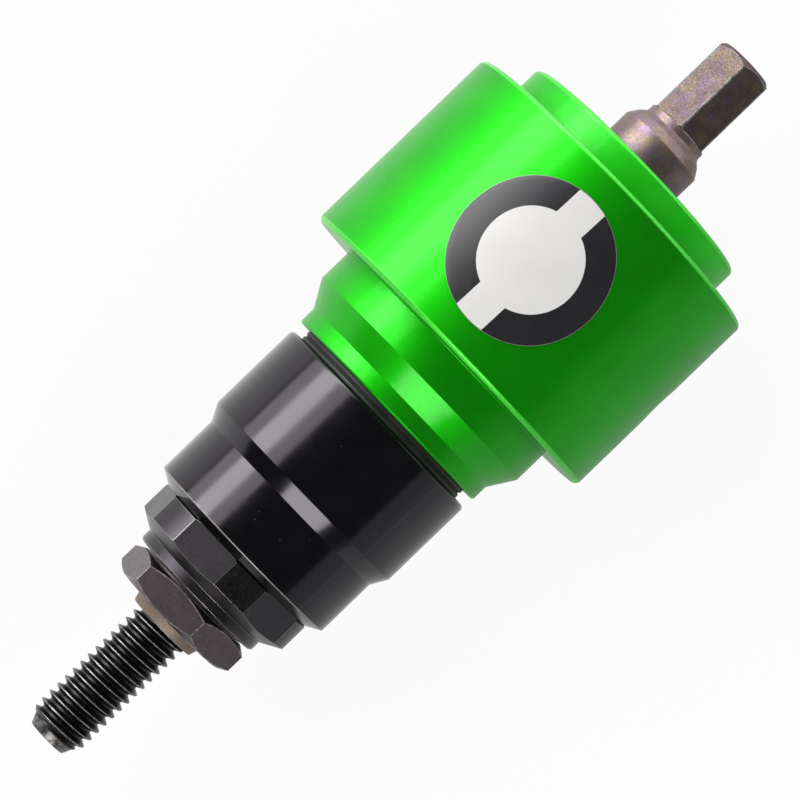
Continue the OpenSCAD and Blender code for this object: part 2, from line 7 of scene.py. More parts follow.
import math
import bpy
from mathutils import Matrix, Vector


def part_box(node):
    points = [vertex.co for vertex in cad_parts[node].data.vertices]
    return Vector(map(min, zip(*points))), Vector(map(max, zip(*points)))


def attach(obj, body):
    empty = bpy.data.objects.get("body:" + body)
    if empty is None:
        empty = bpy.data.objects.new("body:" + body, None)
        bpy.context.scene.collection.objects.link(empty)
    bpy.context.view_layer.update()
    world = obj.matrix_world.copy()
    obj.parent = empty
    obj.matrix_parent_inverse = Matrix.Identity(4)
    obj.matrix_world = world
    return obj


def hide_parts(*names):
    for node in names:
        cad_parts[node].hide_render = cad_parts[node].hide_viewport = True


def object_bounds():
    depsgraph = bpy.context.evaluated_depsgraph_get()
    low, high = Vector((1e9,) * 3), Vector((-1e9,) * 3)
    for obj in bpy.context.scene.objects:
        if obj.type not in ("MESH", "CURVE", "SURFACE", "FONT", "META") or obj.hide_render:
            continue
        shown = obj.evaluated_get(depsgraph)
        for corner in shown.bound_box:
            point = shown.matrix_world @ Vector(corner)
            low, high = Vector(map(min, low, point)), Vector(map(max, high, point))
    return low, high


bl_info = {
    "name": "Rivet Nut Tool Looks",
    "version": (1, 0, 0),
    "blender": (4, 5, 0),
    "location": "View3D > Sidebar > Rivet Nut Tool",
    "description": "Models the visible pieces of a rivet nut tool and gives them their finishes",
    "category": "Object",
}

import bpy
from bpy.props import FloatProperty, FloatVectorProperty, IntProperty, PointerProperty
from mathutils import Matrix, Vector

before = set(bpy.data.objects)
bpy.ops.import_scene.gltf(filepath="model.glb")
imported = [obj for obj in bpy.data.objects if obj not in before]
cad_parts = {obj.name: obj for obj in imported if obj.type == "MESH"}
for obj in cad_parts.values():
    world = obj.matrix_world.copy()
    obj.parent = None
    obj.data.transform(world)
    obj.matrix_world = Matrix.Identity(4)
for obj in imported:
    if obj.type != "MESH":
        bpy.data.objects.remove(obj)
CAD_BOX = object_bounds()
MM = 0.001

# Small sizes that many pieces share: a fine and a soft rounding, the chamfer of an edge, the play of a
# fit, the reach of a cutting form past a face, and a hair's breadth
FINE = 0.1 * MM
SOFT = 0.15 * MM
CHAMFER = 0.25 * MM
PLAY = 0.02 * MM
CLEAR = 0.5 * MM
HAIR = 0.01 * MM

# Points that are closer than this are one, and points this close to a cut lie on it
MERGE = 1e-6
ON_CUT = 1e-7

# The longest share of a side that a rounded corner takes, and the greatest turn of one step of its arc
ARC_SHARE = 0.45
ARC_STEP = math.radians(11)

# Values that finishes share: depth of a fine relief, soft edge of print, marks round the axis, and how
# metallic a blasted surface looks
FINE_RELIEF = 0.01 * MM
PRINT_EDGE = 0.03 * MM
TURNING_MARKS = (0.3 * MM, 2.0, (8.0, 0.3, 0.3))
BLASTED = 0.88


# Sizes read from the solids

def front_of(node):
    """Station of a CAD node's front end."""
    return -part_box(node)[1].x


def rear_of(node):
    """Station of a CAD node's rear end."""
    return -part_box(node)[0].x


def radius_of(node):
    """Largest radius of a round CAD node about the tool's axis."""
    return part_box(node)[1].z


def length(name, description, default):
    """A length property in metres."""
    return FloatProperty(name=name, description=description, default=default, unit="LENGTH", precision=5)


def degrees(name, description, default):
    """An angle property, given in degrees."""
    return FloatProperty(name=name, description=description, default=math.radians(default), subtype="ANGLE")


def power(name, description, default):
    """The power of a lamp, in watts."""
    return FloatProperty(name=name, description=description, default=default, subtype="POWER")


def colour(name, description, default):
    """A colour property, in linear values."""
    return FloatVectorProperty(name=name, description=description, default=default, size=3,
                               subtype="COLOR", min=0.0, max=1.0)


class HousingSizes(bpy.types.PropertyGroup):
    """Sizes of the green main housing."""

    front: length("Front", "Station of the front lip", front_of("main_housing"))
    rear: length("Rear", "Station of the rear face", rear_of("main_housing"))
    lip_radius: length("Lip radius", "Radius of the front lip", 15.43 * MM)
    lip_length: length("Lip length", "Length of the front lip", 2.3 * MM)
    flare_length: length("Flare length", "Length of the cone behind the lip", 3.4 * MM)
    neck_radius: length("Neck radius", "Radius of the neck", 17.48 * MM)
    neck_length: length("Neck length", "Length of the neck", 4.75 * MM)
    body_radius: length("Body radius", "Radius of the wide body", radius_of("main_housing"))
    front_chamfer: length("Front chamfer", "Chamfer of the body's front edge", 0.5 * MM)
    rear_chamfer: length("Rear chamfer", "Chamfer of the body's rear edge", 0.4 * MM)
    roll: length("Roll", "Rounding at both sides of the edge chamfers", 0.6 * MM)
    tail_bore: length("Tail bore", "Radius of the bore for the sleeve's tail", 13.02 * MM)
    cavity_radius: length("Cavity radius", "Radius of the bearing cavity", 17.52 * MM)
    web_radius: length("Web bore", "Radius of the hole in the web", 10.48 * MM)
    web: length("Web", "Station of the web's front face", 46.8 * MM)
    seat: length("Seat", "Station of the bearing seat", 51.0 * MM)
    port: length("Port", "Station of the handle port", 63.5 * MM)
    port_radius: length("Port radius", "Radius of the port's bore", 2.55 * MM)
    port_thread: length("Port thread", "Depth of the port's thread grooves", 0.3 * MM)
    port_pitch: length("Port pitch", "Distance between the port's thread grooves", 1.0 * MM)
    countersink: length("Countersink", "Depth of the port's countersink", 0.6 * MM)


class CoverSizes(bpy.types.PropertyGroup):
    """Sizes of the green rear cover and its shaft seal."""

    front: length("Front", "Station of the plug's front end", front_of("rear_cover"))
    rear: length("Rear", "Station of the rear face", rear_of("rear_cover"))
    radius: length("Radius", "Radius of plug and boss", radius_of("rear_cover"))
    chamfer: length("Chamfer", "Chamfer of the boss edge", 0.4 * MM)
    bearing_radius: length("Bearing pocket", "Radius of the bearing pocket", 12.02 * MM)
    bearing_front: length("Bearing front", "Station of the bearing's front", front_of("rear_bearing_outer"))
    bearing_rear: length("Bearing rear", "Station of the bearing's rear", rear_of("rear_bearing_outer"))
    ring_depth: length("Ring groove depth", "Depth of the snap ring's groove", 0.8 * MM)
    ring_width: length("Ring groove width", "Width of the snap ring's groove", 1.1 * MM)
    seal_radius: length("Seal pocket", "Radius of the shaft seal's pocket", 11.0 * MM)
    seal_front: length("Seal front", "Station of the pocket's floor", 79.3 * MM)
    lip_radius: length("Lip hole", "Radius of the hole between bearing and seal", 10.0 * MM)
    o_ring: length("O-ring", "Cross-section of the O-ring", 1.5 * MM)
    spanner_radius: length("Spanner hole", "Radius of the spanner holes", 1.5 * MM)
    spanner_place: length("Spanner place", "Distance of the spanner holes from the axis", 14.25 * MM)
    spanner_depth: length("Spanner depth", "Depth of the spanner holes", 2.6 * MM)
    seal_case: length("Seal case", "Radius of the shaft seal", radius_of("shaft_seal"))
    seal_rear: length("Seal rear", "Station of the shaft seal's rear face", rear_of("shaft_seal"))
    seal_lip: length("Seal lip", "Radius of the seal's lip round the journal", 6.05 * MM)
    seal_wall: length("Seal wall", "Thickness of the seal's outer wall", 1.2 * MM)
    seal_dish: length("Seal dish", "Depth of the dished face between wall and lip", 0.35 * MM)


class BadgeSizes(bpy.types.PropertyGroup):
    """Sizes and print of the round badge."""

    radius: length("Radius", "Radius of the badge before it is laid round the body", 10.35 * MM)
    thickness: length("Thickness", "Thickness of the badge", 0.12 * MM)
    turn: degrees("Turn", "Turn of the badge about the tool's axis", -2.5)
    ring: length("Ring", "Inner radius of the dark ring", 6.55 * MM)
    rim: length("Rim", "Width of the light edge round the ring", 0.07 * MM)
    band: length("Band", "Width of the pale band through the ring", 4.3 * MM)
    band_turn: degrees("Band turn", "Turn of the band against the tool's axis", 1.3)


class SleeveSizes(bpy.types.PropertyGroup):
    """Sizes of the black front sleeve and the seal behind it."""

    front: length("Front", "Station of the front face", front_of("front_sleeve"))
    slim_radius: length("Slim radius", "Radius of the slim stretch", 14.15 * MM)
    wide_radius: length("Wide radius", "Radius of the wide stretch", radius_of("front_sleeve"))
    chamfer_depth: length("Chamfer depth", "Front chamfer in radius", 1.85 * MM)
    chamfer_height: length("Chamfer height", "Front chamfer along the axis", 1.1 * MM)
    cone: length("Cone", "Station where the cone starts", 22.25 * MM)
    wide: length("Wide", "Station where the wide stretch starts", 24.45 * MM)
    end: length("End", "Station of the wide stretch's rear edge", 37.4 * MM)
    rounding: length("Rounding", "Rounding of the rear edge", 0.6 * MM)
    blend: length("Blend", "Rounding at both ends of the cone", 0.3 * MM)
    worn: length("Worn edge", "Reach of the worn front edge", 0.14 * MM)
    tail_radius: length("Tail radius", "Radius of the threaded tail", 13.0 * MM)
    tail_end: length("Tail end", "Station of the tail's end", rear_of("front_sleeve"))
    guide_radius: length("Guide radius", "Radius of the guide bore", 10.0 * MM)
    land: length("Land", "Station of the guide bore's front end", 19.6 * MM)
    thread_radius: length("Thread radius", "Radius of the nosepiece's thread hole", 7.02 * MM)
    seal_radius: length("Seal radius", "Radius of the seal's ridges", radius_of("sleeve_seal"))
    seal_groove: length("Seal groove", "Depth of the groove between the ridges", 0.3 * MM)
    seal_end: length("Seal end", "Station of the seal's rear face", rear_of("sleeve_seal"))


class LockNutSizes(bpy.types.PropertyGroup):
    """Sizes of the black lock nut."""

    front: length("Front", "Station of the collar's front face", front_of("lock_nut"))
    rear: length("Rear", "Station of the rear face", rear_of("lock_nut"))
    collar_radius: length("Collar radius", "Radius of the front collar", 9.75 * MM)
    collar_end: length("Collar end", "Station of the collar's end", 7.4 * MM)
    flats_start: length("Flats start", "Station where the cone ends", 8.9 * MM)
    radius: length("Radius", "Radius over the strips between the flats", 12.375 * MM)
    across_flats: length("Across flats", "Width across the wrench flats", 23.55 * MM)
    turn: degrees("Turn", "Turn of the flats about the axis", 15.4)
    bore: length("Bore", "Radius of the thread hole", 7.02 * MM)
    edge: length("Edge", "Chamfer of the outer edges", 0.25 * MM)
    worn: length("Worn edges", "Width of the worn edges", 0.07 * MM)


class NosepieceSizes(bpy.types.PropertyGroup):
    """Sizes of the hexagon nosepiece."""

    boss_radius: length("Boss radius", "Radius of the boss at its front", 4.85 * MM)
    boss_taper: length("Boss taper", "Growth of the boss radius", 0.4 * MM)
    hex_start: length("Hexagon start", "Station of the hexagon's front face", 1.4 * MM)
    hex_end: length("Hexagon end", "Station of the hexagon's rear face", 5.5 * MM)
    across_flats: length("Across flats", "Width across the hexagon's flats", 17.0 * MM)
    turn: degrees("Turn", "Turn of the hexagon about the axis", 19.5)
    face_radius: length("Face radius", "Radius of the hexagon's round faces", 8.35 * MM)
    washer_radius: length("Washer radius", "Radius of the washer face", 8.0 * MM)
    washer_end: length("Washer end", "Station of the washer face", 5.9 * MM)
    thread_radius: length("Thread radius", "Radius of the thread", 7.0 * MM)
    end: length("End", "Station of the thread's end", rear_of("nosepiece"))
    bore: length("Bore", "Radius of the bore", 4.2 * MM)
    worn: length("Worn edges", "Width of the worn edges", 0.11 * MM)


class MandrelSizes(bpy.types.PropertyGroup):
    """Sizes of the threaded mandrel."""

    tip: length("Tip", "Station of the mandrel's tip", front_of("mandrel"))
    radius: length("Radius", "Radius over the thread's crests", 4.0 * MM)
    root: length("Root", "Radius at the thread's roots", 3.22 * MM)
    pitch: length("Pitch", "Distance between neighbouring crests", 1.31 * MM)
    thread_end: length("Thread end", "Station where the thread stops inside the nosepiece", 1.6 * MM)
    shank_radius: length("Shank radius", "Radius of the plain shank", 3.6 * MM)
    head: length("Head", "Station of the head's front face", 23.4 * MM)
    head_end: length("Head end", "Station of the head's rear face", rear_of("mandrel"))
    head_flats: length("Head flats", "Width across the head's flats", 13.0 * MM)
    tip_radius: length("Tip radius", "Radius of the tip's end face", 2.7 * MM)
    lead_radius: length("Lead radius", "Radius where the first crest starts", 3.2 * MM)
    lead_length: length("Lead length", "Length of the plain lead at the tip", 1.15 * MM)
    steps: IntProperty(name="Steps", description="Steps of each turn of the thread", default=72, min=24)


class ShaftSizes(bpy.types.PropertyGroup):
    """Sizes of the input shaft with its hex shank."""

    front: length("Front", "Station of the drum's front face", front_of("input_shaft"))
    rear: length("Rear", "Station of the shank's end", rear_of("input_shaft"))
    clutch_radius: length("Clutch bore", "Radius of the clutch bore", 8.43 * MM)
    drum_radius: length("Drum radius", "Radius of the drum", 9.98 * MM)
    drum_step: length("Drum step", "Station of the step behind the clutch", 52.3 * MM)
    ring_front: length("Ring groove", "Station of the snap ring's groove", 47.3 * MM)
    ring_width: length("Ring groove width", "Width of the snap ring's groove", 0.8 * MM)
    ring_radius: length("Ring groove radius", "Radius of the snap ring's groove", 8.9467 * MM)
    flange: length("Flange", "Station of the flange", 61.0 * MM)
    flange_end: length("Flange end", "Station of the flange's rear face", 65.0 * MM)
    flange_radius: length("Flange radius", "Radius of the flange", radius_of("input_shaft"))
    nut_radius: length("Nut bore", "Radius of the lead-screw nut's bore", 7.93 * MM)
    nut: length("Nut", "Station of the nut's front face", front_of("drive_nut"))
    nut_end: length("Nut end", "Station of the nut's rear face", rear_of("drive_nut"))
    pin_radius: length("Pin hole", "Radius of the nut's pin holes", 1.0 * MM)
    screw_radius: length("Screw bore", "Radius of the blind screw bore", 5.3 * MM)
    screw_end: length("Screw end", "Station of the blind bore's floor", 71.8 * MM)
    shoulder_radius: length("Shoulder", "Radius of the bearing shoulder", 7.7 * MM)
    bearing: length("Bearing", "Station of the bearing's front face", front_of("rear_bearing_inner"))
    journal_radius: length("Journal", "Radius of the journal", 6.0 * MM)
    journal_end: length("Journal end", "Station of the journal's end", 86.4 * MM)
    collar: length("Collar", "Station of the collar", 88.3 * MM)
    collar_radius: length("Collar radius", "Radius of the collar", 4.375 * MM)
    shank: length("Shank", "Station where the hexagon starts", 89.4 * MM)
    shank_flats: length("Shank flats", "Width across the hex shank's flats", 8.0 * MM)
    shank_chamfer: length("Shank chamfer", "Chamfer of the shank's end", 1.1 * MM)
    shank_blunt: length("Blunt corners", "Depth of the worn strips along the shank's corners", 0.09 * MM)
    shank_worn: length("Worn edges", "Width of the shank's worn edges", 0.08 * MM)


class FinishColours(bpy.types.PropertyGroup):
    """Colours of the finishes, as linear values."""

    green: colour("Green", "Dye of the anodised aluminium", (0.006, 0.42, 0.002))
    # The edge green is a painted highlight: a paler green that stands in for the light that the edge
    # chamfers catch.
    edge: colour("Edge", "Paler green of polished edges", (0.065, 0.68, 0.05))
    black: colour("Black", "Black oxide on steel", (0.0018, 0.0018, 0.0022))
    brown: colour("Brown", "Phosphate coat on the nosepiece", (0.126, 0.106, 0.108))
    tan: colour("Tan", "Phosphate coat on the nosepiece's boss", (0.240, 0.176, 0.130))
    pink: colour("Pink", "Phosphate coat on the input shaft", (0.106, 0.077, 0.079))
    gold: colour("Gold", "Golden tint of the phosphate", (0.185, 0.142, 0.080))
    violet: colour("Violet", "Violet tint of the phosphate", (0.150, 0.100, 0.165))
    worn: colour("Worn steel", "Bare steel at worn edges", (0.30, 0.285, 0.27))
    paper: colour("Paper", "Pale print of the badge", (0.80, 0.79, 0.77))
    ink: colour("Ink", "Dark print of the badge", (0.010, 0.009, 0.011))
    rubber: colour("Rubber", "Rubber of seals and rings", (0.010, 0.010, 0.010))
    steel: colour("Steel", "Ground bearing steel", (0.50, 0.51, 0.52))
    bronze: colour("Bronze", "Bronze of nut, hub and cages", (0.48, 0.29, 0.12))


class StageSizes(bpy.types.PropertyGroup):
    """Camera, light and floor."""

    aim: FloatVectorProperty(name="Aim", description="Point at the picture's centre",
                             default=(-40.95 * MM, 0.22 * MM, 0.0), size=3, subtype="TRANSLATION")
    distance: length("Distance", "Distance of the camera from the aim", 0.560)
    tilt: degrees("Tilt", "Lean of the camera towards the nose", 0.8)
    turn: degrees("Turn", "Turn of the tool's axis in the picture", 43.92)
    lens: FloatProperty(name="Lens", description="Focal length in millimetres", default=202.4,
                        subtype="DISTANCE_CAMERA")
    floor_size: length("Floor", "Width of the floor", 6.0)
    strip: power("Strip light", "Power of the bright strip", 5.0)
    panel: power("Panel light", "Power of the wide panel", 11.7)
    fill: power("Fill light", "Power of the weak gloss light across", 0.75)
    nose: power("Nose light", "Power of the gloss light past the nose", 3.7)
    back: power("Rear light", "Power of the gloss light past the shank", 4.5)
    key: power("Key light", "Power of the soft key light", 5.0)
    across: power("Across light", "Power of the soft light across", 3.5)


# Modelling helpers

def clear_selection():
    """Leaves edit mode and deselects everything."""
    if bpy.context.object and bpy.context.object.mode != "OBJECT":
        bpy.ops.object.mode_set(mode="OBJECT")
    bpy.ops.object.select_all(action="DESELECT")


def make_active(piece):
    """Selects one piece alone."""
    clear_selection()
    piece.select_set(True)
    bpy.context.view_layer.objects.active = piece


def rounded_outline(corners):
    """Turns corners of station and radius into points. A third value rounds its corner with an arc."""
    points = []
    for index, (station, radius, *rounding) in enumerate(corners):
        here = Vector((station, radius))
        if not rounding:
            points.append(here)
            continue
        back = Vector(corners[index - 1][:2]) - here
        ahead = Vector(corners[(index + 1) % len(corners)][:2]) - here
        half = back.angle(ahead) / 2
        longest = ARC_SHARE * min(back.length, ahead.length)
        reach = min(rounding[0] / math.tan(half), longest)
        inwards = (back.normalized() + ahead.normalized()).normalized()
        centre = here + inwards * (reach * math.tan(half) / math.sin(half))
        start = here + back.normalized() * reach - centre
        end = here + ahead.normalized() * reach - centre
        sweep = math.atan2(start.x * end.y - start.y * end.x, start.dot(end))
        steps = max(2, math.ceil(abs(sweep) / ARC_STEP))
        for step in range(steps + 1):
            points.append(centre + Matrix.Rotation(sweep * step / steps, 2) @ start)
    return points


def lay_outline(name, points):
    """Adds a circle and moves its points on to an outline of station and radius, above the axis."""
    clear_selection()
    bpy.ops.mesh.primitive_circle_add(vertices=len(points), radius=0.01, fill_type="NOTHING",
                                      location=(0, 0, 0))
    piece = bpy.context.object
    piece.name = name
    piece.data.name = name
    for vertex, point in zip(piece.data.vertices, points):
        vertex.co = (-point[0], 0.0, point[1])
    return piece


def close_mesh():
    """In edit mode: merges doubles, drops loose bits and turns all faces outwards."""
    bpy.ops.mesh.select_all(action="SELECT")
    bpy.ops.mesh.remove_doubles(threshold=MERGE)
    bpy.ops.mesh.delete_loose()
    bpy.ops.mesh.select_all(action="SELECT")
    bpy.ops.mesh.normals_make_consistent(inside=False)


def turned(name, corners, steps=192):
    """Spins a closed outline of corners about the tool's axis."""
    piece = lay_outline(name, rounded_outline(corners))
    make_active(piece)
    bpy.ops.object.mode_set(mode="EDIT")
    bpy.ops.mesh.select_all(action="SELECT")
    bpy.ops.mesh.spin(steps=steps, angle=2 * math.pi, use_auto_merge=True, center=(0, 0, 0), axis=(1, 0, 0))
    close_mesh()
    bpy.ops.object.mode_set(mode="OBJECT")
    return piece


def slice_off(place, normal):
    """In edit mode: cuts off what lies past a plane and closes the cut."""
    bpy.ops.mesh.select_all(action="SELECT")
    bpy.ops.mesh.bisect(plane_co=place, plane_no=normal, use_fill=True, clear_outer=True, threshold=ON_CUT)


def cut_flats(piece, across_flats, turn):
    """Cuts six flats round the axis. At a turn of zero a corner points up."""
    make_active(piece)
    bpy.ops.object.mode_set(mode="EDIT")
    for side in range(6):
        angle = turn + math.radians(30 + 60 * side)
        normal = Vector((0.0, math.sin(angle), math.cos(angle)))
        slice_off(normal * across_flats / 2, normal)
    close_mesh()
    bpy.ops.object.mode_set(mode="OBJECT")


def hexagon_corner(across_flats):
    """Radius over the corners of a hexagon."""
    return across_flats / 2 / math.cos(math.radians(30))


def apply_modifier(piece, modifier):
    """Applies one modifier to a piece."""
    make_active(piece)
    bpy.ops.object.modifier_apply(modifier=modifier.name)


def carve(piece, form, operation="DIFFERENCE"):
    """Takes a form away from a piece, or keeps what lies inside it, and removes the form."""
    modifier = piece.modifiers.new("Carve", "BOOLEAN")
    modifier.operation = operation
    modifier.solver = "EXACT"
    modifier.object = form
    apply_modifier(piece, modifier)
    bpy.data.objects.remove(form, do_unlink=True)
    if len(piece.data.polygons) == 0:
        raise RuntimeError(f"nothing of {piece.name} is left")


def drill_pair(piece, name, corners, place):
    """Drills two holes along the axis, one at each side of it."""
    for side in (-1.0, 1.0):
        drill = turned(name, corners, steps=48)
        drill.data.transform(Matrix.Translation((0.0, side * place, 0.0)))
        carve(piece, drill)


def join_pieces(piece, *others):
    """Joins other meshes into a piece."""
    make_active(piece)
    for other in others:
        other.select_set(True)
    bpy.ops.object.join()


def break_edges(piece, width, limit):
    """Rounds edges sharper than a limit in degrees, in the second slot, and settles the shading."""
    modifier = piece.modifiers.new("Edges", "BEVEL")
    modifier.width = width
    modifier.segments = 2
    modifier.limit_method = "ANGLE"
    modifier.angle_limit = math.radians(limit)
    modifier.material = 1
    apply_modifier(piece, modifier)
    smooth(piece)


def smooth(piece, angle=28.0):
    """Smooth shading with sharp creases, weighted by face size."""
    make_active(piece)
    bpy.ops.object.shade_smooth_by_angle(angle=math.radians(angle))
    modifier = piece.modifiers.new("Normals", "WEIGHTED_NORMAL")
    modifier.keep_sharp = True
    apply_modifier(piece, modifier)


def coat(piece, *materials):
    """Gives a piece its materials, one slot each."""
    for material in materials:
        piece.data.materials.append(material)


def mark(piece, slot, test):
    """Puts faces in a material slot by a test of their station, radius and normal."""
    for face in piece.data.polygons:
        centre = face.center
        if test(-centre.x, math.hypot(centre.y, centre.z), face.normal):
            face.material_index = slot


def mark_edge_highlights(piece, rim, chamfer):
    """Puts the slanted faces at a rim in the second slot, where a paler green is painted as the chamfers'
    highlight.
    """
    inner = rim - 1.1 * chamfer
    side, end = 0.2, 0.98
    mark(piece, 1, lambda station, radius, normal: radius > inner and side < abs(normal.x) < end)


def dress(piece, body, slot, *nodes):
    """Gives a piece its body and hides the CAD nodes that it stands for. The slot is not used."""
    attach(piece, body)
    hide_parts(*nodes)


# Material helpers

class Finish:
    """A material under construction: its shader and the nodes that feed it."""

    def __init__(self, name):
        self.material = bpy.data.materials.new(name)
        self.material.use_nodes = True
        self.nodes = self.material.node_tree.nodes
        self.links = self.material.node_tree.links
        self.shader = self.nodes["Principled BSDF"]
        self.place = self.nodes.new("ShaderNodeTexCoord").outputs["Object"]

    def put(self, socket, value):
        """Links an output to a socket, or sets a number or a colour on it."""
        if hasattr(value, "is_linked"):
            self.links.new(value, socket)
        elif hasattr(value, "__len__"):
            socket.default_value = (*value, 1.0)
        else:
            socket.default_value = value

    def set(self, **values):
        """Sets or links the shader's own sockets."""
        for key, value in values.items():
            self.put(self.shader.inputs[key.replace("_", " ")], value)

    def noise(self, size, detail=2.0, stretch=(1.0, 1.0, 1.0)):
        """Noise with features of about the given size in metres."""
        mapping = self.nodes.new("ShaderNodeMapping")
        mapping.inputs["Scale"].default_value = stretch
        self.links.new(self.place, mapping.inputs["Vector"])
        node = self.nodes.new("ShaderNodeTexNoise")
        node.inputs["Scale"].default_value = 1.0 / size
        node.inputs["Detail"].default_value = detail
        self.links.new(mapping.outputs["Vector"], node.inputs["Vector"])
        return node.outputs["Fac"]

    def specks(self, spacing, radius):
        """Small round specks, 1 inside a speck and 0 outside."""
        node = self.nodes.new("ShaderNodeTexVoronoi")
        node.inputs["Scale"].default_value = 1.0 / spacing
        self.links.new(self.place, node.inputs["Vector"])
        return self.span(node.outputs["Distance"], radius, 0.0, 0.0, 1.0)

    def span(self, value, low, high, to_low, to_high):
        """Maps a value from one range to another, with clamping."""
        node = self.nodes.new("ShaderNodeMapRange")
        self.links.new(value, node.inputs["Value"])
        node.inputs["From Min"].default_value = low
        node.inputs["From Max"].default_value = high
        node.inputs["To Min"].default_value = to_low
        node.inputs["To Max"].default_value = to_high
        return node.outputs["Result"]

    def even(self, value, to_low, to_high):
        """Maps the middle stretch of a noise to a range."""
        return self.span(value, 0.3, 0.7, to_low, to_high)

    def step(self, value, place):
        """Goes from 0 to 1 at a place on the badge, over the width of a soft print edge."""
        return self.span(value, place - PRINT_EDGE, place + PRINT_EDGE, 0.0, 1.0)

    def calc(self, operation, *values):
        """A math node on numbers or outputs."""
        node = self.nodes.new("ShaderNodeMath")
        node.operation = operation
        for socket, value in zip(node.inputs, values):
            self.put(socket, value)
        return node.outputs["Value"]

    def mix(self, share, first, second):
        """Mixes two colours, or outputs of colour, by a share."""
        node = self.nodes.new("ShaderNodeMix")
        node.data_type = "RGBA"
        for key, value in (("Factor", share), ("A", first), ("B", second)):
            self.put(node.inputs[key], value)
        return node.outputs["Result"]

    def bump(self, height, strength, depth):
        """Feeds a height into the shader's normal."""
        node = self.nodes.new("ShaderNodeBump")
        node.inputs["Strength"].default_value = strength
        node.inputs["Distance"].default_value = depth
        self.links.new(height, node.inputs["Height"])
        self.set(Normal=node.outputs["Normal"])
        return node.outputs["Normal"]


def shaded(tone, factor):
    """A colour made darker or lighter by a factor."""
    return tuple(min(1.0, channel * factor) for channel in tone)


def anodised_green(green, name, metal):
    """Bead-blasted aluminium under a clear dyed oxide layer."""
    finish = Finish(name)
    finish.set(Metallic=metal, Specular_IOR_Level=0.2, Specular_Tint=(1.0, 0.8, 1.0))
    finish.set(Coat_Weight=0.29, Coat_Roughness=0.15, Coat_IOR=1.5)
    grain = finish.noise(0.25 * MM, detail=3.0)
    cloud = finish.noise(6.0 * MM)
    tone = finish.mix(finish.span(cloud, 0.35, 0.65, 0.0, 1.0), shaded(green, 0.94), shaded(green, 1.06))
    tone = finish.mix(finish.even(grain, 0.0, 0.35), tone, shaded(green, 0.80))
    finish.set(Base_Color=tone, Roughness=finish.even(grain, 0.44, 0.54))
    finish.set(Coat_Normal=finish.bump(grain, 0.35, 0.03 * MM))
    return finish.material


def black_oxide(colours, name, rough, scuffs=0.0):
    """Smooth black oxide with a few dust specks, fine turning marks and scuffs where a wrench has been."""
    finish = Finish(name)
    finish.set(Metallic=0.0, IOR=1.5, Specular_Tint=(0.98, 0.90, 1.0))
    marks = finish.noise(0.4 * MM, stretch=(6.0, 0.25, 0.25))
    cloud = finish.noise(4.0 * MM, detail=3.0)
    dusty = finish.span(cloud, 0.50, 0.62, 0.0, 1.0)
    dust = finish.calc("MULTIPLY", finish.specks(1.6 * MM, 0.07), dusty)
    tone = finish.mix(finish.even(cloud, 0.0, 1.0), colours.black, shaded(colours.black, 1.7))
    if scuffs:
        lines = finish.noise(0.22 * MM, detail=3.0, stretch=(1.0, 0.6, 0.6))
        tone = finish.mix(finish.span(lines, 0.45, 0.80, 0.0, scuffs), tone, shaded(colours.worn, 0.5))
    finish.set(Base_Color=finish.mix(dust, tone, (0.16, 0.16, 0.16)))
    gloss = finish.even(cloud, rough - 0.03, rough + 0.03)
    finish.set(Roughness=finish.calc("ADD", gloss, finish.span(dust, 0.0, 1.0, 0.0, 0.3)))
    finish.bump(marks, 0.05, FINE_RELIEF)
    return finish.material


def phosphate_steel(name, ground, patches, tints, metal, rough):
    """Phosphate coat with patches and tints over its ground colour."""
    finish = Finish(name)
    patch = finish.noise(1.7 * MM, detail=4.0)
    tint = finish.noise(1.2 * MM, detail=4.0, stretch=(0.7, 1.0, 1.0))
    grain = finish.noise(0.22 * MM, detail=3.0)
    tone = finish.mix(finish.span(patch, 0.42, 0.66, 0.0, 0.7), ground, patches)
    tone = finish.mix(finish.span(tint, 0.46, 0.68, 0.0, 0.7), tone, tints)
    tone = finish.mix(finish.span(grain, 0.35, 0.70, 0.0, 0.6), tone, shaded(ground, 0.55))
    finish.set(Metallic=metal, Base_Color=tone, Roughness=finish.even(grain, rough - 0.06, rough + 0.08))
    finish.bump(grain, 0.12, 2 * FINE_RELIEF)
    return finish.material


def two_tone(name, tones, patch, grain, rough, relief, by_patch=False, **values):
    """A finish in two tones with a fine grain. The roughness follows the grain, or the patches if asked.

    The patches have a size, a detail, the ends of their range and the least share of the second tone.
    """
    finish = Finish(name)
    size, detail, low, high, least = patch
    patches = finish.noise(size, detail)
    fine = finish.noise(*grain)
    finish.set(Base_Color=finish.mix(finish.span(patches, low, high, least, 1.0), *tones), **values)
    finish.set(Roughness=finish.even(patches if by_patch else fine, *rough))
    finish.bump(fine, relief, FINE_RELIEF)
    return finish.material


def worn_steel(colours, name, share, metal=1.0, light=1.0):
    """Bare steel where a coat has worn off an edge, with dark rests of the coat."""
    tones = (shaded(colours.worn, 0.25 * light), shaded(colours.worn, light))
    patch = (0.7 * MM, 3.0, 0.40, 0.62, 1.0 - share)
    return two_tone(name, tones, patch, (0.15 * MM,), rough=(0.28, 0.40), relief=0.10, Metallic=metal)


def thread_black(colours):
    """Black coat in the roots and on the flanks of the thread, with oil and dust."""
    tones = (shaded(colours.black, 1.2), shaded(colours.black, 6.0))
    patch = (0.8 * MM, 3.0, 0.52, 0.72, 0.0)
    return two_tone("thread_black", tones, patch, (0.18 * MM,), rough=(0.26, 0.42), relief=0.15,
                    by_patch=True, Metallic=0.0, IOR=1.5, Specular_IOR_Level=0.28)


def seal_rubber(colours):
    """Matt black rubber with a fine moulded grain."""
    tones = (colours.rubber, shaded(colours.rubber, 2.2))
    patch = (2.5 * MM, 3.0, 0.40, 0.75, 0.0)
    return two_tone("seal_rubber", tones, patch, (0.18 * MM,), rough=(0.50, 0.65), relief=0.2,
                    by_patch=True, Metallic=0.0)


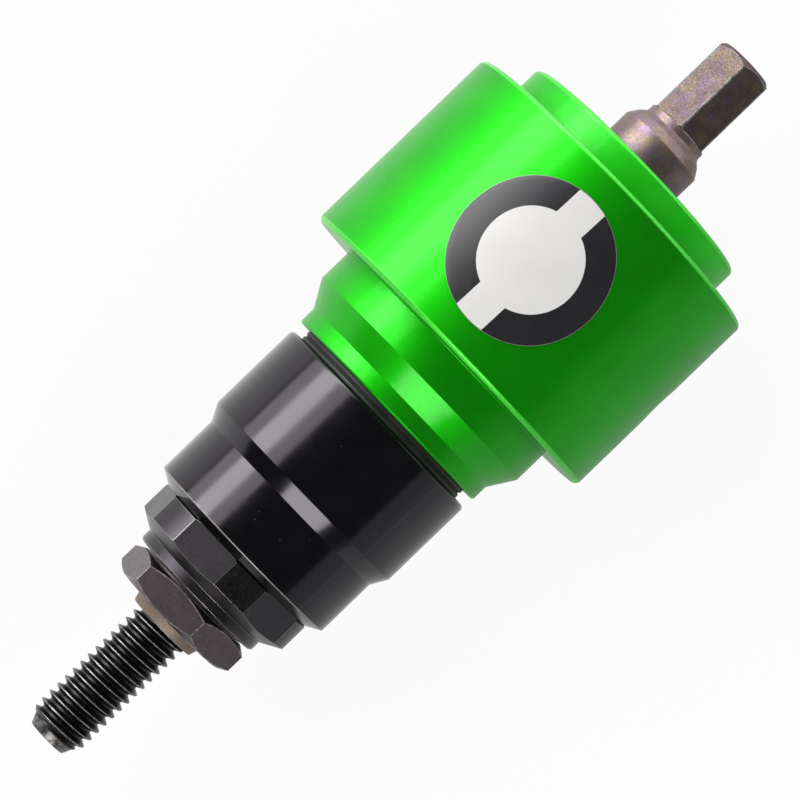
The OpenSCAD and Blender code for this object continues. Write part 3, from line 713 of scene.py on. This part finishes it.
def ground_steel(colours):
    """Ground and polished steel with fine marks round the axis."""
    tones = (shaded(colours.steel, 0.88), colours.steel)
    patch = (5.0 * MM, 2.0, 0.3, 0.7, 0.0)
    return two_tone("ground_steel", tones, patch, TURNING_MARKS, rough=(0.16, 0.28), relief=0.06,
                    Metallic=1.0)


def cast_bronze(colours):
    """Machined bronze with slight tarnish."""
    tones = (colours.bronze, shaded(colours.bronze, 0.55))
    patch = (3.0 * MM, 3.0, 0.40, 0.70, 0.0)
    return two_tone("cast_bronze", tones, patch, TURNING_MARKS, rough=(0.28, 0.42), relief=0.06,
                    Metallic=1.0)


def badge_print(colours, sizes):
    """Print of the badge on its own flat places: a dark ring that a pale band runs through."""
    finish = Finish("badge_label")
    finish.set(Metallic=0.0, IOR=1.5)
    flat = finish.nodes.new("ShaderNodeAttribute")
    flat.attribute_name = "flat_place"
    mapping = finish.nodes.new("ShaderNodeMapping")
    mapping.inputs["Rotation"].default_value = (0.0, 0.0, sizes.band_turn)
    finish.links.new(flat.outputs["Vector"], mapping.inputs["Vector"])
    parts = finish.nodes.new("ShaderNodeSeparateXYZ")
    finish.links.new(mapping.outputs["Vector"], parts.inputs["Vector"])
    across = finish.calc("ABSOLUTE", parts.outputs["Y"])
    along_square = finish.calc("MULTIPLY", parts.outputs["X"], parts.outputs["X"])
    across_square = finish.calc("MULTIPLY", parts.outputs["Y"], parts.outputs["Y"])
    far = finish.calc("SQRT", finish.calc("ADD", along_square, across_square))
    dark = finish.calc("MULTIPLY", finish.step(far, sizes.ring), finish.step(across, sizes.band / 2))
    fibre = finish.noise(0.5 * MM, detail=3.0)
    cloud = finish.even(finish.noise(5.0 * MM), 0.0, 1.0)
    paper = finish.mix(cloud, colours.paper, shaded(colours.paper, 0.95))
    ink = finish.mix(cloud, colours.ink, shaded(colours.ink, 1.5))
    rim = finish.step(far, sizes.radius - sizes.rim)
    finish.set(Base_Color=finish.mix(rim, finish.mix(dark, paper, ink), shaded(colours.paper, 0.25)))
    finish.set(Roughness=finish.even(fibre, 0.33, 0.43))
    finish.bump(fibre, 0.04, FINE_RELIEF)
    return finish.material


# Operators that model the pieces

class TOOL_OT_housing(bpy.types.Operator):
    """Model the green main housing with its handle port"""

    bl_idname = "rivet_tool.housing"
    bl_label = "Main Housing"

    def execute(self, context):
        size = context.scene.rivet_housing
        colours = context.scene.rivet_colours
        flare = size.front + size.lip_length
        neck = flare + size.flare_length
        body = neck + size.neck_length
        housing = turned("main_housing_shell", [
            (size.front, size.tail_bore, FINE),
            (size.front, size.lip_radius - CHAMFER, FINE),
            (size.front + CHAMFER, size.lip_radius, FINE),
            (flare, size.lip_radius, CHAMFER),
            (neck, size.neck_radius, CHAMFER),
            (body, size.neck_radius, SOFT),
            (body, size.body_radius - size.front_chamfer, size.roll),
            (body + size.front_chamfer, size.body_radius, size.roll),
            (size.rear - size.rear_chamfer, size.body_radius, size.roll),
            (size.rear, size.body_radius - size.rear_chamfer, size.roll),
            (size.rear, size.cavity_radius, FINE),
            (size.seat, size.cavity_radius),
            (size.seat, size.web_radius, FINE),
            (size.web, size.web_radius, FINE),
            (size.web, size.tail_bore),
        ], steps=256)
        carve(housing, self.port_cutter(size))
        smooth(housing)
        mark_edge_highlights(housing, size.body_radius, size.front_chamfer)
        # The second finish paints the edge chamfers paler green as their highlight.
        coat(housing, anodised_green(colours.green, "housing_green", BLASTED),
             anodised_green(colours.edge, "housing_edge_highlight", BLASTED))
        dress(housing, "housing", "green_anodised", "main_housing")
        return {"FINISHED"}

    def port_cutter(self, size):
        """A drill form with thread grooves and a countersink, laid along +Y at the port."""
        pitch = size.port_pitch
        half_groove = 0.35 * pitch
        start = size.cavity_radius - 3 * CLEAR
        mouth = size.body_radius - size.countersink
        top = size.body_radius + 2 * CLEAR
        corners = [(start, 0.0), (start, size.port_radius)]
        groove = size.cavity_radius + 0.5 * pitch
        while groove + 0.6 * pitch < mouth:
            corners.append((groove - half_groove, size.port_radius))
            corners.append((groove, size.port_radius + size.port_thread))
            corners.append((groove + half_groove, size.port_radius))
            groove += pitch
        corners.append((mouth, size.port_radius))
        corners.append((top, size.port_radius + top - mouth))
        corners.append((top, 0.0))
        cutter = turned("port_cutter", corners, steps=64)
        upright = Matrix.Rotation(math.radians(-90), 4, "Z")
        cutter.data.transform(Matrix.Translation((-size.port, 0.0, 0.0)) @ upright)
        return cutter


class TOOL_OT_cover(bpy.types.Operator):
    """Model the green rear cover with its spanner holes, and the shaft seal in it"""

    bl_idname = "rivet_tool.cover"
    bl_label = "Rear Cover"

    def execute(self, context):
        size = context.scene.rivet_cover
        housing = context.scene.rivet_housing
        colours = context.scene.rivet_colours
        groove = housing.rear - 2 * size.o_ring
        groove_end = groove + 1.2 * size.o_ring
        groove_radius = size.radius - size.o_ring - PLAY
        ring = size.bearing_front - size.ring_width
        ring_radius = size.bearing_radius + size.ring_depth
        cover = turned("rear_cover_shell", [
            (size.front, size.bearing_radius, FINE),
            (size.front, size.radius - CHAMFER, FINE),
            (size.front + CHAMFER, size.radius, FINE),
            (groove, size.radius),
            (groove, groove_radius),
            (groove_end, groove_radius),
            (groove_end, size.radius),
            (size.rear - size.chamfer, size.radius, housing.roll),
            (size.rear, size.radius - size.chamfer, housing.roll),
            (size.rear, size.seal_radius, FINE),
            (size.seal_front, size.seal_radius),
            (size.seal_front, size.lip_radius),
            (size.bearing_rear, size.lip_radius),
            (size.bearing_rear, size.bearing_radius),
            (size.bearing_front, size.bearing_radius),
            (size.bearing_front, ring_radius),
            (ring, ring_radius),
            (ring, size.bearing_radius),
        ])
        sink = 0.2 * MM
        floor = size.rear - size.spanner_depth
        above = size.rear + CLEAR
        drill_pair(cover, "spanner_drill", [
            (floor, 0.0),
            (floor, size.spanner_radius),
            (size.rear - sink, size.spanner_radius),
            (above, size.spanner_radius + sink + CLEAR),
            (above, 0.0),
        ], size.spanner_place)
        smooth(cover)
        mark_edge_highlights(cover, size.radius, size.chamfer)
        # The second finish paints the edge chamfers paler green as their highlight.
        coat(cover, anodised_green(shaded(colours.green, 1.3), "cover_green", metal=0.3),
             anodised_green(colours.edge, "cover_edge_highlight", BLASTED))
        dress(cover, "housing", "green_anodised", "rear_cover")
        self.seal(size, colours)
        return {"FINISHED"}

    def seal(self, size, colours):
        """The shaft seal with its outer wall, dished rear face and lip round the journal."""
        middle = (size.seal_front + size.seal_rear) / 2
        lip_front = size.seal_rear - 0.8 * (size.seal_rear - middle)
        lip_root = size.seal_lip + 0.8 * MM
        wall = size.seal_case - size.seal_wall
        dish = size.seal_rear - size.seal_dish
        dish_rim = wall - 0.1 * MM
        dish_hub = size.seal_lip + 0.7 * MM
        seal = turned("shaft_seal_lip", [
            (size.seal_rear, size.seal_lip, FINE),
            (lip_front, size.seal_lip, FINE),
            (middle, lip_root, FINE),
            (middle, wall, FINE),
            (size.seal_front, wall, FINE),
            (size.seal_front, size.seal_case, FINE),
            (size.seal_rear, size.seal_case, CHAMFER),
            (size.seal_rear, dish_rim, FINE),
            (dish, dish_rim - 0.4 * MM, SOFT),
            (dish, dish_hub + 0.7 * MM, SOFT),
            (size.seal_rear, dish_hub, SOFT),
        ], steps=128)
        smooth(seal)
        coat(seal, seal_rubber(colours))
        dress(seal, "housing", "rubber", "shaft_seal")


class TOOL_OT_badge(bpy.types.Operator):
    """Model the thin round badge and lay it round the body"""

    bl_idname = "rivet_tool.badge"
    bl_label = "Badge"

    def execute(self, context):
        size = context.scene.rivet_badge
        housing = context.scene.rivet_housing
        rings = 28
        radii = [size.radius * ring / rings for ring in range(rings)]
        corners = [(0.0, radius) for radius in radii]
        corners.append((0.0, size.radius))
        corners.append((-0.7 * size.thickness, size.radius))
        corners.extend((-size.thickness, radius) for radius in reversed(radii))
        badge = turned("badge_disc", corners, steps=128)
        flat = badge.data.attributes.new("flat_place", "FLOAT_VECTOR", "POINT")
        for vertex in badge.data.vertices:
            height, across, along = vertex.co
            flat.data[vertex.index].vector = (along, across, 0.0)
            angle = across / housing.body_radius + size.turn
            radius = housing.body_radius + height
            vertex.co = (along - housing.port, radius * math.sin(angle), radius * math.cos(angle))
        make_active(badge)
        bpy.ops.object.mode_set(mode="EDIT")
        close_mesh()
        bpy.ops.object.mode_set(mode="OBJECT")
        smooth(badge, angle=40.0)
        coat(badge, badge_print(context.scene.rivet_colours, size))
        dress(badge, "housing", "badge_print", "badge")
        return {"FINISHED"}


class TOOL_OT_sleeve(bpy.types.Operator):
    """Model the black front sleeve and the ridged seal behind it"""

    bl_idname = "rivet_tool.sleeve"
    bl_label = "Front Sleeve"

    def execute(self, context):
        size = context.scene.rivet_sleeve
        colours = context.scene.rivet_colours
        edge = size.front + size.chamfer_height
        sleeve = turned("front_sleeve_shell", [
            (size.front, size.thread_radius),
            (size.front, size.slim_radius - size.chamfer_depth, FINE),
            (edge, size.slim_radius, 2 * FINE),
            (size.cone, size.slim_radius, size.blend),
            (size.wide, size.wide_radius, size.blend),
            (size.end, size.wide_radius, size.rounding),
            (size.end, size.tail_radius),
            (size.tail_end - CHAMFER, size.tail_radius),
            (size.tail_end, size.tail_radius - CHAMFER),
            (size.tail_end, size.guide_radius),
            (size.land, size.guide_radius),
            (size.land, size.thread_radius),
        ])
        smooth(sleeve)
        inner = size.slim_radius - 2 * FINE
        mark(sleeve, 1, lambda station, radius, normal: abs(station - edge) < size.worn and radius > inner)
        coat(sleeve, black_oxide(colours, "sleeve_oxide", rough=0.16),
             worn_steel(colours, "sleeve_edge", share=0.30, metal=0.5))
        dress(sleeve, "housing", "black_oxide", "front_sleeve")
        self.seal(size)
        return {"FINISHED"}

    def seal(self, size):
        """The rubber ring with a groove between its two ridges."""
        height = size.seal_end - size.end
        inner = size.tail_radius + PLAY
        ridge = 0.12 * MM
        seal = turned("sleeve_seal_ring", [
            (size.end, inner),
            (size.end, size.seal_radius, ridge),
            (size.end + 0.35 * height, size.seal_radius, ridge),
            (size.end + 0.5 * height, size.seal_radius - size.seal_groove, 0.08 * MM),
            (size.end + 0.65 * height, size.seal_radius, ridge),
            (size.seal_end, size.seal_radius, ridge),
            (size.seal_end, inner),
        ])
        smooth(seal)
        coat(seal, bpy.data.materials["seal_rubber"])
        dress(seal, "housing", "rubber", "sleeve_seal")


class TOOL_OT_lock_nut(bpy.types.Operator):
    """Model the black lock nut with its collar and six wrench flats"""

    bl_idname = "rivet_tool.lock_nut"
    bl_label = "Lock Nut"

    def execute(self, context):
        size = context.scene.rivet_lock_nut
        colours = context.scene.rivet_colours
        nut = turned("lock_nut_form", [
            (size.front, size.bore),
            (size.front, size.collar_radius - size.edge),
            (size.front + size.edge, size.collar_radius),
            (size.collar_end, size.collar_radius),
            (size.flats_start, size.radius),
            (size.rear - size.edge, size.radius),
            (size.rear, size.radius - size.edge),
            (size.rear, size.bore),
        ])
        cut_flats(nut, size.across_flats, size.turn)
        coat(nut, black_oxide(colours, "lock_nut_oxide", rough=0.31, scuffs=0.10),
             worn_steel(colours, "lock_nut_edge", share=0.35))
        break_edges(nut, size.worn, limit=12.0)
        dress(nut, "housing", "black_oxide", "lock_nut")
        return {"FINISHED"}


class TOOL_OT_nosepiece(bpy.types.Operator):
    """Model the brown hexagon nosepiece with its boss"""

    bl_idname = "rivet_tool.nosepiece"
    bl_label = "Nosepiece"

    def execute(self, context):
        size = context.scene.rivet_nosepiece
        colours = context.scene.rivet_colours
        corner = hexagon_corner(size.across_flats) + CLEAR
        slope = math.tan(math.radians(30))
        rise = (corner - size.face_radius) * slope
        nose = turned("nosepiece_form", [
            (0.0, size.bore),
            (0.0, size.boss_radius),
            (size.hex_start, size.boss_radius + size.boss_taper),
            (size.hex_start, size.face_radius),
            (size.hex_start + rise, corner),
            (size.hex_end - rise, corner),
            (size.hex_end, size.face_radius),
            (size.hex_end, size.washer_radius),
            (size.washer_end, size.washer_radius),
            (size.washer_end, size.thread_radius),
            (size.end - CHAMFER, size.thread_radius),
            (size.end, size.thread_radius - CHAMFER),
            (size.end, size.bore),
        ])
        cut_flats(nose, size.across_flats, size.turn)
        hexagon_tones = (colours.brown, shaded(colours.brown, 1.2), shaded(colours.violet, 0.72))
        boss_tones = (colours.tan, shaded(colours.brown, 1.6), colours.tan)
        coat(nose, phosphate_steel("nosepiece_phosphate", *hexagon_tones, metal=0.95, rough=0.33),
             worn_steel(colours, "nosepiece_edge", share=0.8, metal=0.35),
             phosphate_steel("boss_phosphate", *boss_tones, metal=0.3, rough=0.55))
        mark(nose, 2, lambda station, radius, normal: station < size.hex_start - HAIR)
        break_edges(nose, size.worn, limit=12.0)
        dress(nose, "housing", "phosphate_steel", "nosepiece")
        return {"FINISHED"}


class TOOL_OT_mandrel(bpy.types.Operator):
    """Model the mandrel with its real thread, its worn crests and its hexagon head"""

    bl_idname = "rivet_tool.mandrel"
    bl_label = "Mandrel"

    def execute(self, context):
        size = context.scene.rivet_mandrel
        colours = context.scene.rivet_colours
        mandrel = self.thread(size)
        carve(mandrel, self.envelope(size), "INTERSECT")
        coat(mandrel, thread_black(colours),
             worn_steel(colours, "thread_crest", share=0.75, metal=0.35),
             worn_steel(colours, "mandrel_tip", share=1.0, metal=0.5, light=0.6))
        lead = size.tip + size.lead_length
        crest = size.radius - 0.04 * MM
        mark(mandrel, 2, lambda station, radius, normal: station < lead)
        mark(mandrel, 1, lambda station, radius, normal: radius > crest)
        lap = 0.4 * MM
        sunk = size.head + 0.3 * MM
        core = turned("mandrel_core", [
            (size.thread_end - lap, 0.0),
            (size.thread_end - lap, 0.8 * size.root),
            (size.thread_end + lap, size.shank_radius, FINE),
            (sunk, size.shank_radius),
            (sunk, 0.0),
        ], steps=96)
        join_pieces(mandrel, core, self.head(size))
        smooth(mandrel, angle=24.0)
        dress(mandrel, "puller", "black_oxide", "mandrel")
        return {"FINISHED"}

    def thread(self, size):
        """A right-hand thread ribbon, cut flat at both ends and closed there."""
        start = size.tip - 2 * size.pitch
        turns = math.ceil((size.thread_end + size.pitch - start) / size.pitch) + 1
        root = 0.23 * size.pitch
        crest = 0.12 * size.pitch
        flank = (size.pitch - root - crest) / 2
        screw = lay_outline("mandrel_thread", [
            (start, size.root),
            (start + root, size.root),
            (start + root + flank, size.radius),
            (start + root + flank + crest, size.radius),
            (start + size.pitch, size.root),
        ])
        last = len(screw.data.vertices) - 1
        for part in (screw.data.vertices, screw.data.edges):
            part.foreach_set("select", [False] * len(part))
        for edge in screw.data.edges:
            edge.select = set(edge.vertices) == {0, last}
        make_active(screw)
        bpy.ops.object.mode_set(mode="EDIT")
        bpy.ops.mesh.select_mode(type="EDGE")
        bpy.ops.mesh.delete(type="EDGE")
        bpy.ops.object.mode_set(mode="OBJECT")
        modifier = screw.modifiers.new("Thread", "SCREW")
        modifier.axis = "X"
        modifier.screw_offset = -size.pitch
        modifier.angle = -2 * math.pi
        modifier.iterations = turns
        modifier.steps = size.steps
        modifier.render_steps = size.steps
        modifier.use_merge_vertices = True
        modifier.merge_threshold = MERGE
        apply_modifier(screw, modifier)
        bpy.ops.object.mode_set(mode="EDIT")
        close_mesh()
        slice_off((-size.tip, 0, 0), (1, 0, 0))
        slice_off((-size.thread_end, 0, 0), (-1, 0, 0))
        close_mesh()
        bpy.ops.object.mode_set(mode="OBJECT")
        return screw

    def envelope(self, size):
        """The form that the thread stays inside: a cylinder with a short plain lead at its tip."""
        lead = size.tip + size.lead_length
        grown = size.radius + PLAY
        near = size.tip + HAIR
        far = size.thread_end - HAIR
        return turned("mandrel_envelope", [
            (near, 0.0),
            (near, size.tip_radius),
            (lead, size.lead_radius),
            (lead + 1.1 * (size.radius - size.lead_radius), grown),
            (far, grown),
            (far, 0.0),
        ], steps=96)

    def head(self, size):
        """The hexagon head inside the puller."""
        corner = hexagon_corner(size.head_flats) + 0.4 * MM
        face = size.head_flats / 2 - 0.2 * MM
        chamfer = 1.0 * MM
        head = turned("mandrel_head", [
            (size.head, 0.0),
            (size.head, corner),
            (size.head_end - chamfer, corner),
            (size.head_end, face),
            (size.head_end, 0.0),
        ], steps=96)
        cut_flats(head, size.head_flats, 0.0)
        return head


class TOOL_OT_shaft(bpy.types.Operator):
    """Model the input shaft with its journal, neck and hex shank"""

    bl_idname = "rivet_tool.shaft"
    bl_label = "Input Shaft"

    def execute(self, context):
        size = context.scene.rivet_shaft
        colours = context.scene.rivet_colours
        bend = size.journal_end + 0.6 * (size.collar - size.journal_end)
        ring_end = size.ring_front + size.ring_width
        cone = size.nut_end + 1.0 * MM
        cone_end = size.screw_end - 1.0 * MM
        shaft = turned("input_shaft_form", [
            (size.front, size.clutch_radius),
            (size.front, size.drum_radius - CHAMFER),
            (size.front + CHAMFER, size.drum_radius),
            (size.flange, size.drum_radius),
            (size.flange, size.flange_radius),
            (size.flange_end, size.flange_radius),
            (size.flange_end, size.drum_radius),
            (cone, size.drum_radius),
            (cone_end, size.shoulder_radius),
            (size.bearing, size.shoulder_radius),
            (size.bearing, size.journal_radius),
            (size.journal_end - FINE, size.journal_radius, 0.5 * MM),
            (bend, (size.journal_radius + size.collar_radius) / 2, 0.4 * MM),
            (size.collar, size.collar_radius, 0.6 * MM),
            (size.shank, size.collar_radius, 0.3 * MM),
            (size.shank + 0.05 * MM, 0.0),
            (size.screw_end, 0.0),
            (size.screw_end, size.screw_radius),
            (size.nut_end, size.screw_radius),
            (size.nut_end, size.nut_radius),
            (size.drum_step, size.nut_radius),
            (size.drum_step, size.clutch_radius),
            (ring_end, size.clutch_radius),
            (ring_end, size.ring_radius),
            (size.ring_front, size.ring_radius),
            (size.ring_front, size.clutch_radius),
        ])
        drill_pair(shaft, "pin_drill", [
            (size.nut, 0.0),
            (size.nut, size.pin_radius),
            (size.nut_end, size.pin_radius),
            (size.nut_end, 0.0),
        ], size.nut_radius)
        smooth(shaft)
        shank_tones = (colours.pink, colours.gold, colours.violet)
        journal_tones = (shaded(colours.pink, 2.0), shaded(colours.gold, 1.9), shaded(colours.violet, 1.7))
        phosphate = phosphate_steel("shank_phosphate", *shank_tones, metal=0.85, rough=0.50)
        edge = worn_steel(colours, "shank_edge", share=0.8, metal=0.35)
        coat(shaft, phosphate, edge,
             phosphate_steel("journal_phosphate", *journal_tones, metal=0.85, rough=0.45))
        mark(shaft, 2, lambda station, radius, normal: True)
        join_pieces(shaft, self.shank(size, phosphate, edge))
        dress(shaft, "drive", "phosphate_steel", "input_shaft")
        return {"FINISHED"}

    def shank(self, size, phosphate, edge):
        """The hexagon with worn corners, a lead at its front and a chamfer at its end."""
        sharp = hexagon_corner(size.shank_flats)
        blunt = sharp - size.shank_blunt
        corner = sharp + 0.1 * MM
        lead_depth = 0.35 * MM
        lead_length = 0.5 * MM
        start = size.shank - 0.2 * MM
        shank = turned("hex_shank", [
            (start, 0.0),
            (start, corner - lead_depth),
            (start + lead_length, corner),
            (size.rear - size.shank_chamfer, corner),
            (size.rear, corner - size.shank_chamfer),
            (size.rear, 0.0),
        ], steps=144)
        cut_flats(shank, size.shank_flats, 0.0)
        cut_flats(shank, 2 * blunt, math.radians(30))
        coat(shank, phosphate, edge)
        mark(shank, 1, lambda station, radius, normal: radius > blunt - PLAY and abs(normal.x) < 0.1)
        break_edges(shank, size.shank_worn, limit=35.0)
        return shank


class TOOL_OT_inner_finishes(bpy.types.Operator):
    """Give the CAD pieces inside the tool their finishes"""

    bl_idname = "rivet_tool.inner_finishes"
    bl_label = "Inner Finishes"

    def execute(self, context):
        colours = context.scene.rivet_colours
        finishes = {
            ground_steel(colours): (
                "thrust_washer_front", "thrust_washer_rear", "thrust_balls", "rear_bearing_outer",
                "rear_bearing_inner", "rear_bearing_balls", "bearing_snap_ring", "clutch_snap_ring",
                "nut_pins", "puller", "puller_cap",
            ),
            cast_bronze(colours): ("drive_nut", "clutch_hub", "thrust_cage", "rear_bearing_cage"),
            bpy.data.materials["seal_rubber"]: ("cover_o_ring", "clutch_rings"),
        }
        for material, nodes in finishes.items():
            for node in nodes:
                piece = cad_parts[node]
                piece.data.materials.clear()
                coat(piece, material)
        return {"FINISHED"}


class TOOL_OT_stage(bpy.types.Operator):
    """Set up the pale floor, the studio light and the camera"""

    bl_idname = "rivet_tool.stage"
    bl_label = "Stage"

    def execute(self, context):
        size = context.scene.rivet_stage
        context.scene.view_settings.view_transform = "Standard"
        self.floor(context, size)
        self.world(context)
        gloss = [
            self.softbox("strip_light", size.strip, (-0.35, -0.62, 0.36), (1.1, 0.26), -0.35),
            self.softbox("panel_light", size.panel, (-0.35, -0.70, 0.40), (1.5, 0.80), -0.35),
            self.softbox("fill_light", size.fill, (0.0, 0.75, 0.12), (1.4, 0.40)),
            self.softbox("nose_light", size.nose, (0.60, 0.13, 0.40), (0.52, 0.30)),
            self.softbox("rear_light", size.back, (-0.80, 0.0, 0.20), (1.5, 0.40), -0.05),
        ]
        for light in gloss:
            light.visible_diffuse = False
        soft = [
            self.softbox("key_light", size.key, (0.0, -0.50, 0.60), (0.8, 0.5)),
            self.softbox("across_light", size.across, (0.0, 0.45, 0.64), (0.8, 0.5)),
        ]
        for light in soft:
            light.visible_glossy = False
        self.camera(context, size)
        return {"FINISHED"}

    def floor(self, context, size):
        """A floor that looks white from the camera, glows with painted light in gloss, and still takes the
        tool's shadow.
        """
        clear_selection()
        bpy.ops.mesh.primitive_grid_add(x_subdivisions=4, y_subdivisions=4, size=size.floor_size,
                                        location=(0, 0, 0))
        floor = context.object
        floor.name = "floor"
        floor.data.transform(Matrix.Translation((0.0, 0.0, CAD_BOX[0].z - 0.05 * MM)))
        finish = Finish("floor_white")
        nodes, links = finish.nodes, finish.links
        nodes.remove(finish.shader)
        paint = nodes.new("ShaderNodeBsdfDiffuse")
        finish.put(paint.inputs["Color"], (0.80, 0.80, 0.80))
        parts = nodes.new("ShaderNodeSeparateXYZ")
        links.new(finish.place, parts.inputs["Vector"])
        path = nodes.new("ShaderNodeLightPath").outputs
        level = nodes.new("ShaderNodeMix")
        links.new(path["Is Camera Ray"], level.inputs["Factor"])
        # Painted light on the floor as gloss sees it: a brighter glow at the lit side towards -Y and a
        # dimmer one at the shaded side towards +Y.
        lit, dim, reach = 1.2, 0.60, 0.03
        links.new(finish.span(parts.outputs["Y"], -reach, reach, lit, dim), level.inputs["A"])
        level.inputs["B"].default_value = 1.0
        glow = nodes.new("ShaderNodeEmission")
        links.new(level.outputs["Result"], glow.inputs["Strength"])
        seen = finish.calc("MAXIMUM", path["Is Camera Ray"], path["Is Glossy Ray"])
        glow_share = 0.93
        mix = nodes.new("ShaderNodeMixShader")
        links.new(finish.calc("MULTIPLY", seen, glow_share), mix.inputs[0])
        links.new(paint.outputs["BSDF"], mix.inputs[1])
        links.new(glow.outputs["Emission"], mix.inputs[2])
        links.new(mix.outputs["Shader"], nodes["Material Output"].inputs["Surface"])
        coat(floor, finish.material)

    def world(self, context):
        """A dim studio room, seen as white by the camera."""
        world = context.scene.world or bpy.data.worlds.new("studio")
        context.scene.world = world
        world.use_nodes = True
        nodes, links = world.node_tree.nodes, world.node_tree.links
        room = nodes["Background"]
        room.inputs["Color"].default_value = (0.06, 0.06, 0.063, 1.0)
        white = nodes.new("ShaderNodeBackground")
        white.inputs["Color"].default_value = (1.0, 1.0, 1.0, 1.0)
        path = nodes.new("ShaderNodeLightPath")
        mix = nodes.new("ShaderNodeMixShader")
        links.new(path.outputs["Is Camera Ray"], mix.inputs[0])
        links.new(room.outputs["Background"], mix.inputs[1])
        links.new(white.outputs["Background"], mix.inputs[2])
        links.new(mix.outputs["Shader"], nodes["World Output"].inputs["Surface"])

    def softbox(self, name, power, place, sides, aim=0.0):
        """A rectangular soft light that faces a point of the tool's axis and isn't seen by the camera."""
        clear_selection()
        bpy.ops.object.light_add(type="AREA", location=place)
        light = bpy.context.object
        light.name = name
        light.data.shape = "RECTANGLE"
        light.data.size, light.data.size_y = sides
        light.data.energy = power
        facing = Vector(place) - Vector((aim, 0.0, 0.0))
        light.rotation_euler = facing.to_track_quat("Z", "Y").to_euler()
        light.visible_camera = False
        return light

    def camera(self, context, size):
        """A long lens high above the tool, as in the photograph."""
        clear_selection()
        bpy.ops.object.camera_add(location=(0, 0, 0))
        camera = context.object
        camera.data.sensor_width = 36.0
        camera.data.lens = size.lens
        camera.data.clip_start = 0.01
        camera.data.clip_end = 20.0
        back = Vector((math.sin(size.tilt), 0.0, math.cos(size.tilt)))
        right = Vector((-math.cos(size.turn), math.sin(size.turn), 0.0))
        right = (right - back * right.dot(back)).normalized()
        up = back.cross(right)
        axes = Matrix((right, up, back)).transposed().to_4x4()
        camera.matrix_world = Matrix.Translation(Vector(size.aim) + back * size.distance) @ axes
        context.scene.camera = camera


class TOOL_PT_panel(bpy.types.Panel):
    """Lists the steps that build the tool's looks"""

    bl_idname = "TOOL_PT_panel"
    bl_label = "Rivet Nut Tool"
    bl_space_type = "VIEW_3D"
    bl_region_type = "UI"
    bl_category = "Rivet Nut Tool"

    def draw(self, context):
        for step in STEPS:
            self.layout.operator(step.bl_idname)


GROUPS = {
    "rivet_housing": HousingSizes,
    "rivet_cover": CoverSizes,
    "rivet_badge": BadgeSizes,
    "rivet_sleeve": SleeveSizes,
    "rivet_lock_nut": LockNutSizes,
    "rivet_nosepiece": NosepieceSizes,
    "rivet_mandrel": MandrelSizes,
    "rivet_shaft": ShaftSizes,
    "rivet_colours": FinishColours,
    "rivet_stage": StageSizes,
}
STEPS = (
    TOOL_OT_housing,
    TOOL_OT_cover,
    TOOL_OT_badge,
    TOOL_OT_sleeve,
    TOOL_OT_lock_nut,
    TOOL_OT_nosepiece,
    TOOL_OT_mandrel,
    TOOL_OT_shaft,
    TOOL_OT_inner_finishes,
    TOOL_OT_stage,
)


def register():
    """Registers the property groups, the steps and the panel."""
    for name, group in GROUPS.items():
        bpy.utils.register_class(group)
        setattr(bpy.types.Scene, name, PointerProperty(type=group))
    for step in STEPS:
        bpy.utils.register_class(step)
    bpy.utils.register_class(TOOL_PT_panel)


def unregister():
    """Takes the panel, the steps and the property groups away again."""
    bpy.utils.unregister_class(TOOL_PT_panel)
    for step in reversed(STEPS):
        bpy.utils.unregister_class(step)
    for name, group in reversed(GROUPS.items()):
        delattr(bpy.types.Scene, name)
        bpy.utils.unregister_class(group)


def main():
    """Builds the looks step by step."""
    register()
    bpy.ops.rivet_tool.housing()
    bpy.ops.rivet_tool.cover()
    bpy.ops.rivet_tool.badge()
    bpy.ops.rivet_tool.sleeve()
    bpy.ops.rivet_tool.lock_nut()
    bpy.ops.rivet_tool.nosepiece()
    bpy.ops.rivet_tool.mandrel()
    bpy.ops.rivet_tool.shaft()
    bpy.ops.rivet_tool.inner_finishes()
    bpy.ops.rivet_tool.stage()
    clear_selection()


if __name__ == "__main__":
    main()
